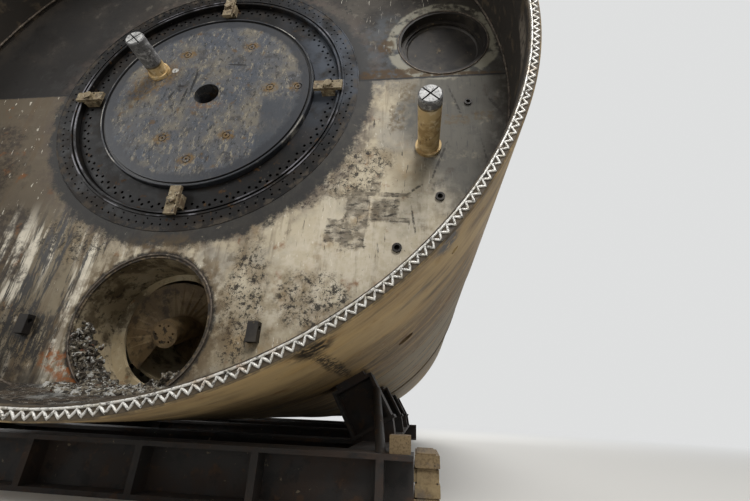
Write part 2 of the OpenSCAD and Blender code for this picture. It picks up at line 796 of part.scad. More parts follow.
// Leaning stub beams on curved pads, each with an end plate and a wedge down to the rail
module cradle_saddles() {
    half = saddle_w / 2;
    color("#332c27") for (p = SADDLES) for (side = [-1, 1]) scale([side, 1, 1]) translate([0, p[SAD_Y], 0])
        difference() {
            plate_r = p[SAD_R] + saddle_len;
            union() {
                at_angle(-saddle_a, p[SAD_R]) {
                    translate([-60, -saddle_d / 2, -pad_w / 2]) cube([60 + pad_t, saddle_d, pad_w]);
                    translate([pad_t, -saddle_d / 2, -half]) cube([saddle_t, saddle_d, saddle_w]);
                    for (z = [-half, half - saddle_t]) translate([pad_t, -saddle_d / 2, z])
                        cube([saddle_len - pad_t, saddle_d, saddle_t]);
                    translate([pad_t, -14, -half]) cube([saddle_len - pad_t, 28, saddle_w]);
                    translate([saddle_len, -saddle_d / 2 - 10, -half - 20])
                        cube([saddle_t, saddle_d + 20, saddle_w + 40]);
                }
                translate([0, saddle_d / 2 - 50, 0]) rotate([90, 0, 0]) linear_extrude(saddle_d - 100)
                    polygon([on_saddle(plate_r + 10, -half), on_saddle(plate_r + 10, half),
                        [rail_x + beam_w / 2, beam_top], [rail_x - beam_w / 2, beam_top - 50]]);
            }
            disc_y(p[SAD_R], -saddle_d, saddle_d);
            translate([0, -1000, beam_top - 1500]) cube([5000, 2000, 1500]);
        }
}

module cradle_struts() {
    top_y = SADDLES[0][SAD_Y] - saddle_d / 2;
    top = on_saddle(shield_r + 190, saddle_w / 2 - 15);
    foot_x = beam_end_x - 210;
    color("#57504a") for (side = [-1, 1]) difference() {
        bar_between([side * top[0], top_y + 90, top[1]],
            [side * foot_x, cross_front_y + 50, beam_top - 40], 36);
        translate([-shield_r, top_y, -shield_r]) cube([2 * shield_r, 500, shield_r]);
        translate([-shield_r, cross_front_y - 500, beam_top - 500]) cube([2 * shield_r, 1500, 500]);
    }
}

// Timbers stacked beside the end of the front cross beam, with gaps between them, and a block on the beam
module timber_blocks() {
    layer = beam_h / 4;
    gap = 10;
    stack_w = 170;
    stack_len = 560;
    block = [140, 200, 110];
    color("#a5834f") for (side = [-1, 1]) scale([side, 1, 1]) {
        translate([beam_end_x + seat_gap, cross_front_y + 220, floor_z]) {
            translate([20, 20, 0]) cube([stack_w - 40, stack_len - 40, beam_h]);
            for (i = [0 : 3]) translate([6 * (i % 2), 14 * (i % 3), i * layer])
                cube([stack_w, stack_len, layer - gap]);
        }
        translate([beam_end_x - block[0] - 20, cross_front_y + 70, beam_top]) cube(block);
    }
}

front_skin();
edge_hardfacing();
bulkhead();
bulkhead_ribs();
bulkhead_fittings();
bearing_flange();
centre_disc();
mixing_bars();
main_drive_housing();
drive_motors();
rotary_union();
mouth_ring();
screw_casing();
screw_drive();
screw_outlet();
lock_chamber();
lock_coaming();
spoil_heap();
middle_skin();
ring_frames();
frame_ties();
thrust_barrels();
articulation_cylinders();
screw_yoke();
work_platforms();
tail_skin();
tail_brushes();
erector_frame();
cradle_rails();
cradle_cross_beams();
cradle_saddles();
cradle_struts();
timber_blocks();
drive_ring();
lock_brackets();
auger();
lock_door();
rams_top();
rams_left();
rams_bottom();
rams_right();
erector_ring();
erector_head();
outlet_gate();
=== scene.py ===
import math
import random

import bpy
from mathutils import Matrix, Vector


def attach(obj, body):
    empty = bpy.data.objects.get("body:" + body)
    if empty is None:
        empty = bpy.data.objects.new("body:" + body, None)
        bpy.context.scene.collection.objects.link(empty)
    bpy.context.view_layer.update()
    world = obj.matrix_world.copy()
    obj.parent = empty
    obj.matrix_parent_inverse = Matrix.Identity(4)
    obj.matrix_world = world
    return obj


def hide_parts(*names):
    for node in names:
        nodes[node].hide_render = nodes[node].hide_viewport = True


# Shield of a tunnel boring machine on its launch cradle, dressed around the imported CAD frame.
# Metres throughout: the cutting face looks to -Y, +Z is up, the bearing flange's face is at y = 0.

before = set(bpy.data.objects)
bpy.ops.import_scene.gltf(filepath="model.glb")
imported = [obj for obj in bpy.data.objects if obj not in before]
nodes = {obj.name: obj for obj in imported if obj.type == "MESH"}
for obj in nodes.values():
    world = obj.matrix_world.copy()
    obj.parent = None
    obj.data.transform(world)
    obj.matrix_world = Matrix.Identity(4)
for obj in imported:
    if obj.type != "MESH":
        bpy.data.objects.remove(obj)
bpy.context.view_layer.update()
print("frame loaded:", len(nodes), "nodes")

# What several pieces share
shield = {
    "edgeY": -0.8,
    "seamZ": 0.088,
    "floorZ": -3.75,
    "lips": (1.494, 1.536),
    "mouth": (0.0, 0.0, -2.55),
    "mouthRadius": 0.59,
    "lock": (2.592, 0.0, 0.652),
    "screwTip": (0.0, 0.344, -2.576),
    "screwSlope": math.radians(22),
}


def toLinear(hexText):  # an sRGB hex colour as linear RGBA
    parts = [int(hexText[i : i + 2], 16) / 255 for i in (1, 3, 5)]
    return [c / 12.92 if c <= 0.04045 else ((c + 0.055) / 1.055) ** 2.4 for c in parts] + [1.0]


def addNode(tree, kind, settings=None, links=None):  # one node with its settings and its links
    node = tree.nodes.new(kind)
    for name, value in (settings or {}).items():
        if isinstance(name, str) and hasattr(node, name):
            setattr(node, name, value)
        else:
            isColour = isinstance(value, str) and value.startswith("#")
            node.inputs[name].default_value = toLinear(value) if isColour else value
    for name, source in (links or {}).items():  # a node stands for its first output
        socket = source.outputs[0] if isinstance(source, bpy.types.Node) else source
        tree.links.new(socket, node.inputs[name])
    return node


def patch(colour, mm, low=0.0, high=0.001, strength=1.0, **more):  # a layer: patches mm wide where noise is over low
    return {"colour": colour, "mm": mm, "low": low, "high": high, "strength": strength, **more}


def near(half, soft, **more):  # an area: within half of a ring or a point, fading over soft
    return {"half": half, "soft": soft, **more}


def ramp(axis, none, full):  # an area: nothing at the place none and all at the place full along one axis
    return {"axis": axis, "none": none, "full": full}


def marks(spots, soft, **more):  # an area: marks told one by one, [x, z, half width, half height, lean in degrees]
    return {"spots": spots, "soft": soft, **more}


def patchNoise(tree, place, layer):  # noise whose patches are layer["mm"] wide, its streaks leaning by layer["turn"]
    turned = addNode(tree, "ShaderNodeMapping", {
        "Location": [layer.get("seed", 0) * k for k in (3.1, 1.7, 2.3)],
        "Rotation": (0, math.radians(layer.get("turn", 0)), 0),
        "Scale": layer.get("stretch", (1, 1, 1))}, {"Vector": place})
    return addNode(tree, "ShaderNodeTexNoise", {"Scale": 1000 / layer["mm"], "Detail": layer.get("detail", 6),
        "Roughness": layer.get("grain", 0.6)}, {"Vector": turned}).outputs["Fac"]


def fadeMask(tree, value, solid, gone):  # 1 up to solid, 0 from gone on
    return addNode(tree, "ShaderNodeMapRange", {"interpolation_type": "SMOOTHSTEP", "From Min": solid,
        "From Max": gone, "To Min": 1.0, "To Max": 0.0}, {"Value": value}).outputs["Result"]


def raggedEdge(tree, place, value, area):  # the value pushed in and out by noise, so that its edge is torn
    if not area.get("ragged"):
        return value
    torn = patchNoise(tree, place, {"detail": 4, "seed": 5, "mm": 120, **area})
    shift = addNode(tree, "ShaderNodeMath", {"operation": "MULTIPLY_ADD", 1: -2 * area["ragged"],
        2: area["ragged"]}, {0: torn})
    return addNode(tree, "ShaderNodeMath", {"operation": "ADD"}, {0: value, 1: shift}).outputs[0]


def nearMask(tree, place, area):  # 1 within the area's half of its ring or point
    away = addNode(tree, "ShaderNodeVectorMath", {"operation": "SUBTRACT", 1: area.get("centre", (0, 0, 0))},
        {0: place})
    flat = addNode(tree, "ShaderNodeVectorMath", {"operation": "MULTIPLY", 1: area.get("keep", (1, 0, 1))}, {0: away})
    reach = addNode(tree, "ShaderNodeVectorMath", {"operation": "LENGTH"}, {0: flat}).outputs["Value"]
    band = addNode(tree, "ShaderNodeMath", {"operation": "SUBTRACT", 1: area.get("radius", 0.0)}, {0: reach})
    gap = addNode(tree, "ShaderNodeMath", {"operation": "ABSOLUTE"}, {0: band}).outputs[0]
    gap = raggedEdge(tree, place, gap, area)
    return fadeMask(tree, gap, area["half"], area["half"] + area["soft"])


def marksMask(tree, place, area):  # 1 on any of the area's marks
    nearest = None
    for x, z, wide, tall, lean in area["spots"]:
        local = addNode(tree, "ShaderNodeMapping", {"vector_type": "TEXTURE", "Location": (x, 0, z),
            "Rotation": (0, math.radians(lean), 0), "Scale": (wide, 1000, tall)}, {"Vector": place})
        if area.get("square"):
            sides = addNode(tree, "ShaderNodeSeparateXYZ", links={
                "Vector": addNode(tree, "ShaderNodeVectorMath", {"operation": "ABSOLUTE"}, {0: local})})
            reach = anyMask(tree, sides.outputs["X"], sides.outputs["Z"])
        else:
            reach = addNode(tree, "ShaderNodeVectorMath", {"operation": "LENGTH"}, {0: local}).outputs["Value"]
        nearest = reach if nearest is None else addNode(tree, "ShaderNodeMath", {"operation": "MINIMUM"},
            {0: nearest, 1: reach}).outputs[0]
    return fadeMask(tree, raggedEdge(tree, place, nearest, area), 1.0, 1.0 + area["soft"])


def bothMasks(tree, *masks):  # where all of the masks meet
    result = masks[0]
    for mask in masks[1:]:
        result = addNode(tree, "ShaderNodeMath", {"operation": "MULTIPLY"}, {0: result, 1: mask}).outputs[0]
    return result


def anyMask(tree, *masks):  # where at least one of the masks is
    result = masks[0]
    for mask in masks[1:]:
        result = addNode(tree, "ShaderNodeMath", {"operation": "MAXIMUM"}, {0: result, 1: mask}).outputs[0]
    return result


def areaMask(tree, place, area):  # the mask of one area, of whichever sort it is
    if "axis" in area:
        split = addNode(tree, "ShaderNodeSeparateXYZ", links={"Vector": place})
        return fadeMask(tree, split.outputs[area["axis"]], area["full"], area["none"])
    return marksMask(tree, place, area) if "spots" in area else nearMask(tree, place, area)


def layerOver(tree, place, coat, layer, where=None):  # patches of dirt, rust or wear over the coat below
    mask = addNode(tree, "ShaderNodeMapRange", {"interpolation_type": "SMOOTHSTEP", "From Min": layer["low"],
        "From Max": layer["high"], "To Min": 0.0, "To Max": layer["strength"]},
        {"Value": patchNoise(tree, place, layer)}).outputs["Result"]
    if where is not None:
        mask = bothMasks(tree, mask, where)
    coat = dict(coat, colour=addNode(tree, "ShaderNodeMix", {"data_type": "RGBA", 7: layer["colour"]},
        {0: mask, 6: coat["colour"]}).outputs[2])
    if "rough" in layer:
        coat["rough"] = addNode(tree, "ShaderNodeMix", {3: layer["rough"]}, {0: mask, 2: coat["rough"]}).outputs[0]
    if "lift" in layer:
        bulge = addNode(tree, "ShaderNodeMath", {"operation": "MULTIPLY", 1: layer["lift"]}, {0: mask})
        coat["height"] = bulge if coat["height"] is None else addNode(tree, "ShaderNodeMath",
            {"operation": "ADD"}, {0: coat["height"], 1: bulge})
    return coat


def makeFinish(name, look):  # the layers over a bare base, then those of each step on its areas, then a fine grain
    material = bpy.data.materials.new(name)
    material.use_nodes = True
    tree = material.node_tree
    tree.nodes.clear()
    place = addNode(tree, "ShaderNodeTexCoord").outputs["Object"]
    tone = addNode(tree, "ShaderNodeRGB")
    tone.outputs[0].default_value = toLinear(look["colour"])
    gloss = addNode(tree, "ShaderNodeValue")
    gloss.outputs[0].default_value = look["rough"]
    coat = {"colour": tone.outputs[0], "rough": gloss.outputs[0], "height": None}
    for areas, *layers in [([], *look.get("layers", []))] + look.get("steps", []):
        where = bothMasks(tree, *[areaMask(tree, place, area) for area in areas]) if areas else None
        for layer in layers:
            coat = layerOver(tree, place, coat, layer, where)
    grain = patchNoise(tree, place, {"mm": look.get("grainMm", 8), "detail": 3, "seed": 9,
        "stretch": look.get("grainStretch", (1, 1, 1))})
    height = addNode(tree, "ShaderNodeMath", {"operation": "MULTIPLY", 1: look["grainDeep"]}, {0: grain})
    if coat["height"] is not None:
        height = addNode(tree, "ShaderNodeMath", {"operation": "ADD"}, {0: height, 1: coat["height"]})
    bump = addNode(tree, "ShaderNodeBump", {"Strength": 1.0, "Distance": 1.0}, {"Height": height})
    shader = addNode(tree, "ShaderNodeBsdfPrincipled", {"Metallic": look.get("metallic", 0.0),
        "Specular IOR Level": look.get("shine", 0.5), "Coat Weight": look.get("coatWeight", 0.0),
        "Coat Roughness": 0.3}, {"Base Color": coat["colour"], "Roughness": coat["rough"], "Normal": bump})
    addNode(tree, "ShaderNodeOutputMaterial", links={"Surface": shader})
    return material


# Bulkhead: thick primer on plate steel, scoured by spoil. Matt cream-grey under brown film, with black runs,
# specks and strokes, darker to the left and above the seam, where painted shade goes with the dirt.
aboveSeam = ramp("Z", shield["seamZ"] - 0.01, shield["seamZ"] + 0.01)
bulkheadLook = {
    "colour": "#b7ab93", "rough": 0.74, "grainMm": 9, "grainDeep": 0.0009, "shine": 0.35,
    "layers": [
        patch("#877a62", 1000, 0.42, 0.62, 0.8, seed=1),
        patch("#8d8a83", 700, 0.5, 0.68, 0.6, seed=2, rough=0.85),
        patch("#8a6b3d", 330, 0.54, 0.7, 0.5, seed=3),
        patch("#c3b9a4", 260, 0.55, 0.66, 0.6, seed=20, stretch=(1.4, 1, 0.35)),
        patch("#5d5241", 190, 0.57, 0.68, 0.6, seed=26, grain=0.7)],
    "steps": [
        # Painted shade with grime to the left, and brown film with painted shade on the far left, out of the light
        ([ramp("X", 0.3, -1.9)],
            patch("#443b2e", 620, 0.05, 0.36, 0.84, seed=4),
            patch("#2f281f", 300, 0.52, 0.64, 0.8, seed=5, grain=0.72, rough=0.6)),
        ([ramp("X", -0.9, -1.5)], patch("#4f4435", 220, 0.15, 0.5, 0.6, seed=46)),
        # Pale, brown and black runs low on the left, a few of the brown ones all over
        ([ramp("Z", -1.3, -1.8), ramp("X", 0.4, -0.4)],
            patch("#d6cdba", 110, 0.52, 0.62, 0.85, seed=21, stretch=(1, 1, 0.11), turn=6),
            patch("#54432f", 120, 0.53, 0.64, 0.8, seed=6, stretch=(1, 1, 0.1), turn=6, grain=0.68),
            patch("#1a1510", 62, 0.56, 0.62, 0.92, seed=22, stretch=(1, 1, 0.09), rough=0.5, turn=6, grain=0.72)),
        ([], patch("#54432f", 120, 0.53, 0.64, 0.4, seed=31, stretch=(1, 1, 0.1), turn=6, grain=0.68)),
        # Rust, and black and pale specks
        ([],
            patch("#75461f", 210, 0.61, 0.7, 0.7, seed=7, rough=0.9, lift=0.0006),
            patch("#15110d", 40, 0.625, 0.66, 0.9, seed=8, grain=0.78),
            patch("#15110d", 16, 0.655, 0.69, 0.8, seed=40, grain=0.7),
            patch("#d8d1c1", 30, 0.65, 0.69, 0.8, seed=10, stretch=(1, 1, 0.3))),
        # Painted shade with old dark spoil above the seam, blackest on the left
        ([aboveSeam],
            patch("#2f2a25", 900, 0.1, 0.3, 0.94, seed=23),
            patch("#231e18", 460, 0.4, 0.56, 0.85, seed=24),
            patch("#6b6459", 130, 0.57, 0.66, 0.5, seed=25, grain=0.7),
            patch("#14110e", 90, 0.56, 0.63, 0.85, seed=27, grain=0.72)),
        ([aboveSeam, ramp("X", -0.8, -1.7)], patch("#15120f", 700, 0.24, 0.5, 0.92, seed=41)),
        # Strokes on the right
        ([ramp("X", 0.9, 1.5)],
            patch("#1a1611", 26, 0.645, 0.68, 0.9, seed=11, stretch=(1, 1, 0.12), turn=14, detail=5),
            patch("#211b15", 20, 0.65, 0.69, 0.85, seed=28, stretch=(1, 1, 0.11), turn=-32, detail=5),
            patch("#d8d1c1", 16, 0.655, 0.7, 0.8, seed=29, stretch=(1, 1, 0.07), turn=40, detail=4)),
        # Cold grey film between the bearing and the man lock
        ([marks([(1.93, 0.5, 0.3, 0.45, 0), (2.2, -0.4, 0.09, 0.17, 0)], 0.6, ragged=0.35, mm=180)],
            patch("#474b4f", 120, 0.35, 0.6, 0.7, seed=30)),
        # Painted grey shade on the right, towards the skin, and a paler sweep low on the right
        ([marks([(2.9, -0.55, 0.5, 0.85, -12)], 0.8, ragged=0.3, mm=240)],
            patch("#494844", 200, 0.14, 0.44, 0.9, seed=44)),
        ([marks([(1.75, -1.95, 0.75, 0.32, -35)], 0.7, ragged=0.4, mm=200)],
            patch("#cbc1ae", 90, 0.38, 0.62, 0.6, seed=45)),
        # Splashes of falling spoil
        ([marks([(1.48, -2.36, 0.26, 0.2, 20), (0.86, -2.35, 0.14, 0.42, 0), (1.3, -1.38, 0.1, 0.07, 0),
            (-1.2, -2.75, 0.32, 0.26, 0), (1.7, -1.1, 0.3, 0.16, -30), (-0.9, -1.75, 0.3, 0.2, 0)],
            0.7, ragged=0.5, mm=160)],
            patch("#6d5c42", 150, 0.4, 0.62, 0.6, seed=43),
            patch("#16120d", 70, 0.52, 0.57, 0.92, seed=32, grain=0.85),
            patch("#1f1812", 22, 0.55, 0.6, 0.88, seed=42, grain=0.75)),
        # Stains on the left
        ([marks([(-1.7, -1.57, 0.17, 0.12, 0), (-1.56, -1.88, 0.15, 0.12, 10), (-1.4, -2.09, 0.14, 0.07, 30),
            (-2.4, -0.6, 0.3, 0.2, 0), (-2.1, -1.1, 0.16, 0.3, 15)], 0.7, ragged=1.2, mm=150, grain=0.7)],
            patch("#2c241d", 60, 0.36, 0.6, 0.85, seed=33, grain=0.7)),
        # Oil that ran down on the left
        ([marks([(-1.13, -1.85, 0.07, 0.62, 9), (-1.02, -2.25, 0.03, 0.45, 7), (-0.77, -2.42, 0.026, 0.46, 7),
            (-1.22, -2.4, 0.022, 0.34, 4), (-0.98, -2.68, 0.19, 0.15, 20), (-1.33, -2.9, 0.2, 0.08, 0)],
            0.6, ragged=0.9, mm=70, stretch=(1, 1, 0.3))],
            patch("#14110d", 34, 0.43, 0.52, 0.93, seed=34, rough=0.45, stretch=(1, 1, 0.16), turn=8, grain=0.7)),
        # Square brown patches, a little raised, and blocks of scraped paint
        ([marks([(2.22, -0.12, 0.065, 0.11, 3), (2.11, -0.45, 0.07, 0.15, 3), (2.7, -0.5, 0.1, 0.055, 3),
            (2.96, -0.46, 0.075, 0.05, 3)], 0.3, ragged=0.4, mm=60, square=True)],
            patch("#5c4d36", 50, 0.4, 0.62, 0.7, seed=35, lift=0.0015)),
        ([marks([(1.77, -1.575, 0.095, 0.25, 4), (1.59, -1.7, 0.075, 0.1, 4), (2.02, -1.5, 0.1, 0.1, 4),
            (2.04, -1.34, 0.19, 0.02, 4), (2.17, -1.6, 0.065, 0.02, 4), (1.94, -1.23, 0.04, 0.07, 4)],
            0.3, ragged=0.6, mm=90, grain=0.75, square=True)],
            patch("#574e41", 80, 0.3, 0.6, 0.8, seed=19, rough=0.8),
            patch("#1f1a15", 36, 0.5, 0.6, 0.85, seed=36, stretch=(0.3, 1, 1.1), grain=0.75)),
        # Scars left by loads
        ([marks([(2.695, -0.285, 0.007, 0.11, -17), (2.515, -0.99, 0.007, 0.13, 20),
            (2.945, -0.96, 0.006, 0.1, -8), (2.295, -1.285, 0.007, 0.05, 52), (3.075, -0.335, 0.009, 0.08, -30),
            (2.28, -1.61, 0.005, 0.08, -8)], 1.6, ragged=1.7, mm=34)],
            patch("#1d1813", 30, 0.38, 0.54, 0.78, seed=37)),
        # Painted shade, in patches, darkening the corner against the skin
        ([near(0.12, 0.22, radius=3.3, ragged=0.1, mm=200)],
            patch("#2c261f", 140, 0.3, 0.55, 0.85, seed=14)),
        # Grease that creeps out of the bearing: black by the flange, brown further out and below
        ([near(0.1, 0.26, centre=(0.06, 0, -0.05), radius=1.66, ragged=0.2, mm=260, grain=0.7)],
            patch("#41352d", 110, 0.36, 0.6, 0.8, seed=12, rough=0.6)),
        ([near(0.12, 0.08, centre=(0.05, 0, -0.06), radius=1.64, ragged=0.14, mm=110, grain=0.78)],
            patch("#12100d", 60, 0.2, 0.36, 0.96, seed=13, rough=0.6)),
        # Around the screw mouth: a dark oily edge with brown mud rubbed on, and rust low on its left
        ([near(0.04, 0.28, centre=shield["mouth"], radius=0.6, ragged=0.14, mm=150, seed=21)],
            patch("#54442e", 90, 0.38, 0.58, 0.85, seed=15, rough=0.85, lift=0.002)),
        ([near(0.035, 0.035, centre=shield["mouth"], radius=0.6, ragged=0.045, mm=60, grain=0.75)],
            patch("#191510", 60, 0.2, 0.42, 0.92, seed=38)),
        ([marks([(-0.5, -2.97, 0.13, 0.08, 40), (-0.68, -2.88, 0.09, 0.06, 20)], 0.8, ragged=0.6, mm=70)],
            patch("#8a4f22", 40, 0.42, 0.56, 0.8, seed=39, rough=0.9)),
        # Around the man lock: a ring of paint worn pale by the lock's cover, and rust below it on the seam
        ([near(0.04, 0.03, centre=shield["lock"], radius=0.56, ragged=0.035, mm=120)],
            patch("#85806f", 110, 0.36, 0.52, 0.8, seed=16, rough=0.6)),
        ([marks([(2.1, 0.18, 0.34, 0.07, 0), (2.75, 0.14, 0.3, 0.03, 0), (1.97, 0.62, 0.07, 0.09, 0)], 0.6,
            ragged=0.5, mm=90)],
            patch("#4a3925", 60, 0.36, 0.52, 0.85, seed=17, rough=0.9)),
        # The seam between the plates: a dark weld with dirt in it, and a painted shadow line under the step
        ([near(0.012, 0.022, centre=(0, 0, shield["seamZ"]), keep=(0, 0, 1), ragged=0.012, mm=60)],
            patch("#100e0c", 100, seed=18, rough=0.7))],
}

# Main bearing: machined steel under black grease. Near black and slick, cold grey where light grazes its right.
bearingLook = {
    "colour": "#0c0a09", "rough": 0.5, "grainMm": 14, "grainDeep": 0.0006, "shine": 0.18,
    "layers": [
        patch("#1c1610", 230, 0.48, 0.62, 0.8, seed=1, rough=0.65),
        patch("#0a0908", 150, 0.48, 0.62, 0.9, seed=2, rough=0.4),
        patch("#453018", 80, 0.62, 0.7, 0.75, seed=3, rough=0.85),
        patch("#5e5850", 36, 0.65, 0.7, 0.6, seed=4, rough=0.45)],
    "steps": [
        # Painted sheen: cold grey on the right, where light grazes the steel
        ([ramp("X", 0.5, 1.3), ramp("Z", -0.9, 0.2)], patch("#454a52", 330, 0.36, 0.6, 0.8, seed=7, rough=0.5)),
        # The lips, wiped to bare steel on their front and painted bright there as a highlight
        *[([near(0.004, 0.006, radius=radius, ragged=0.004, mm=50), ramp("Y", 0.002, -0.004)],
            patch("#77757a", 420, 0.46, 0.6, 0.85, seed=5, rough=0.35)) for radius in shield["lips"]],
        # Dust on the flange's outer edge
        ([near(0.012, 0.04, radius=1.675, ragged=0.03, mm=90)],
            patch("#4c443a", 80, 0.47, 0.6, 0.6, seed=6, rough=0.8))],
}

# Centre disc: cast steel with worn paint and dust. Chipped blue-grey and cream, ochre rust at the plugs,
# a dark machined border round it.
plugSpots = [(0.721, 0.051), (0.401, 0.696), (-0.376, 0.628), (-0.356, -0.598), (0.350, -0.589), (-0.016, -0.878),
    (1.036, 0.045)]
discLook = {
    "colour": "#4a4a4b", "rough": 0.6, "shine": 0.35, "grainMm": 10, "grainDeep": 0.001,
    "layers": [
        patch("#6b6354", 420, 0.46, 0.6, 0.7, seed=1),
        patch("#3c4047", 300, 0.48, 0.62, 0.85, seed=2),
        patch("#2a2726", 170, 0.54, 0.63, 0.75, seed=3, rough=0.45),
        patch("#8f8570", 52, 0.55, 0.61, 0.65, seed=5, grain=0.78, stretch=(1.2, 1, 0.5), turn=20),
        patch("#696d75", 40, 0.56, 0.62, 0.65, seed=12, grain=0.78, stretch=(1.2, 1, 0.6), turn=10),
        patch("#171616", 60, 0.545, 0.59, 0.85, seed=6, grain=0.8, stretch=(1.2, 1, 0.6), turn=16),
        patch("#171616", 20, 0.6, 0.65, 0.75, seed=18, grain=0.75, stretch=(1.3, 1, 0.5), turn=24),
        patch("#5d4523", 110, 0.6, 0.69, 0.6, seed=7, rough=0.85)],
    "steps": [
        # Rust round the plugs
        ([marks([(x, z, 0.065, 0.05, 0) for x, z in plugSpots], 0.9, ragged=0.6, mm=60, grain=0.7)],
            patch("#6b5229", 30, 0.4, 0.58, 0.8, seed=8, rough=0.85, grain=0.7)),
        # Mud washed down from the foot of the bar, and a lump of bare weld beside it
        ([marks([(-0.68, 0.27, 0.2, 0.14, -35), (-0.8, 0.1, 0.1, 0.13, 0)], 0.9, ragged=0.5, mm=120)],
            patch("#6f5733", 50, 0.4, 0.62, 0.8, seed=13, rough=0.9, grain=0.7)),
        ([marks([(-0.47, 0.38, 0.035, 0.028, 0)], 0.3, ragged=0.4, mm=30)],
            patch("#b9b7b1", 20, 0.35, 0.5, seed=14, lift=0.006)),
        # Black scars left of the bore
        ([marks([(-0.19, 0.2, 0.014, 0.13, 4), (-0.26, -0.02, 0.012, 0.09, 8), (-0.42, 0.0, 0.01, 0.05, 20),
            (-0.33, 0.13, 0.03, 0.012, 0), (0.28, 0.42, 0.09, 0.01, 8)], 0.5, ragged=0.9, mm=30)],
            patch("#121010", 60, 0.25, 0.4, 0.95, seed=15)),
        # The lower right is a smooth plate of darker paint behind a straight edge
        ([ramp("X", 0.66, 0.69), ramp("Z", 0.02, -0.2)], patch("#33363b", 260, 0.2, 0.5, 0.85, seed=9, rough=0.45)),
        # The turned border: smooth and dark, a groove with grease, and a painted highlight on the rim in places
        ([near(0.11, 0.06, radius=1.2, ragged=0.09, mm=110, grain=0.78)],
            patch("#222429", 200, 0.1, 0.3, 0.9, seed=16, rough=0.42)),
        ([near(0.012, 0.006, radius=1.17)], patch("#0d0b0a", 90, seed=10, rough=0.35)),
        ([near(0.005, 0.004, radius=1.199)], patch("#a19c92", 500, 0.5, 0.6, 0.9, seed=11, rough=0.25)),
        # The bore, painted black inside as shade, with rust below it
        ([marks([(0.02, -0.16, 0.14, 0.04, 0)], 0.7, ragged=0.5, mm=50)],
            patch("#5f4225", 36, 0.42, 0.6, 0.75, seed=17)),
        ([near(0.139, 0.004)], patch("#0c0a09", 90, seed=19, rough=0.9))],
}


def barSteps(bar):  # how the end of a mixing bar is ground bright, with a dark ring behind it and its cross sunk in
    tip, bareTo = bar["tip"], bar["bareTo"]
    here = marks([(x, z, 0.13, 0.13, 0) for x, z in bar["spots"]], 0.1)
    inner = marks([(x, z, 0.0875, 0.0875, 0) for x, z in bar["spots"]], 0.02)
    return [
        ([here, ramp("Y", bareTo + 0.034, bareTo + 0.026)], patch("#231d17", 50, 0.3, 0.5, 0.8, seed=6)),
        ([here, ramp("Y", bareTo + 0.02, bareTo)],
            patch("#646363", 300, rough=0.4),
            patch("#a9a8a5", 50, 0.5, 0.6, 0.8, seed=4, rough=0.35, grain=0.75),
            patch("#3a3631", 30, 0.55, 0.62, 0.85, seed=5, grain=0.75)),
        ([inner, ramp("Y", tip + 0.003, tip + 0.006)], patch("#141210", 50, rough=0.8)),
        ([here, inner, ramp("Y", tip + 0.02, tip + 0.002), ramp("Y", tip + 0.004, tip + 0.002)],
            patch("#c2c1bd", 26, 0.4, 0.56, 0.8, seed=7, grain=0.75))]


# Mixing bars: hard-faced steel, tan with dried mud. The ends are ground bright, with black grooves across.
barLook = {
    "colour": "#c6ab7c", "rough": 0.8, "shine": 0.3, "grainMm": 7, "grainDeep": 0.002,
    "layers": [
        patch("#967a4e", 110, 0.46, 0.62, 0.8, seed=1, lift=0.002),
        patch("#dccaa4", 60, 0.52, 0.64, 0.7, seed=2),
        patch("#352a1d", 42, 0.6, 0.67, 0.8, seed=3, stretch=(1, 0.3, 1))],
    "steps": barSteps({"tip": -0.66, "bareTo": -0.585, "spots": [(2.418, -0.821), (-2.418, -0.821)]})
        + barSteps({"tip": -0.45, "bareTo": -0.16, "spots": [(-0.65, 0.36)]}),
}

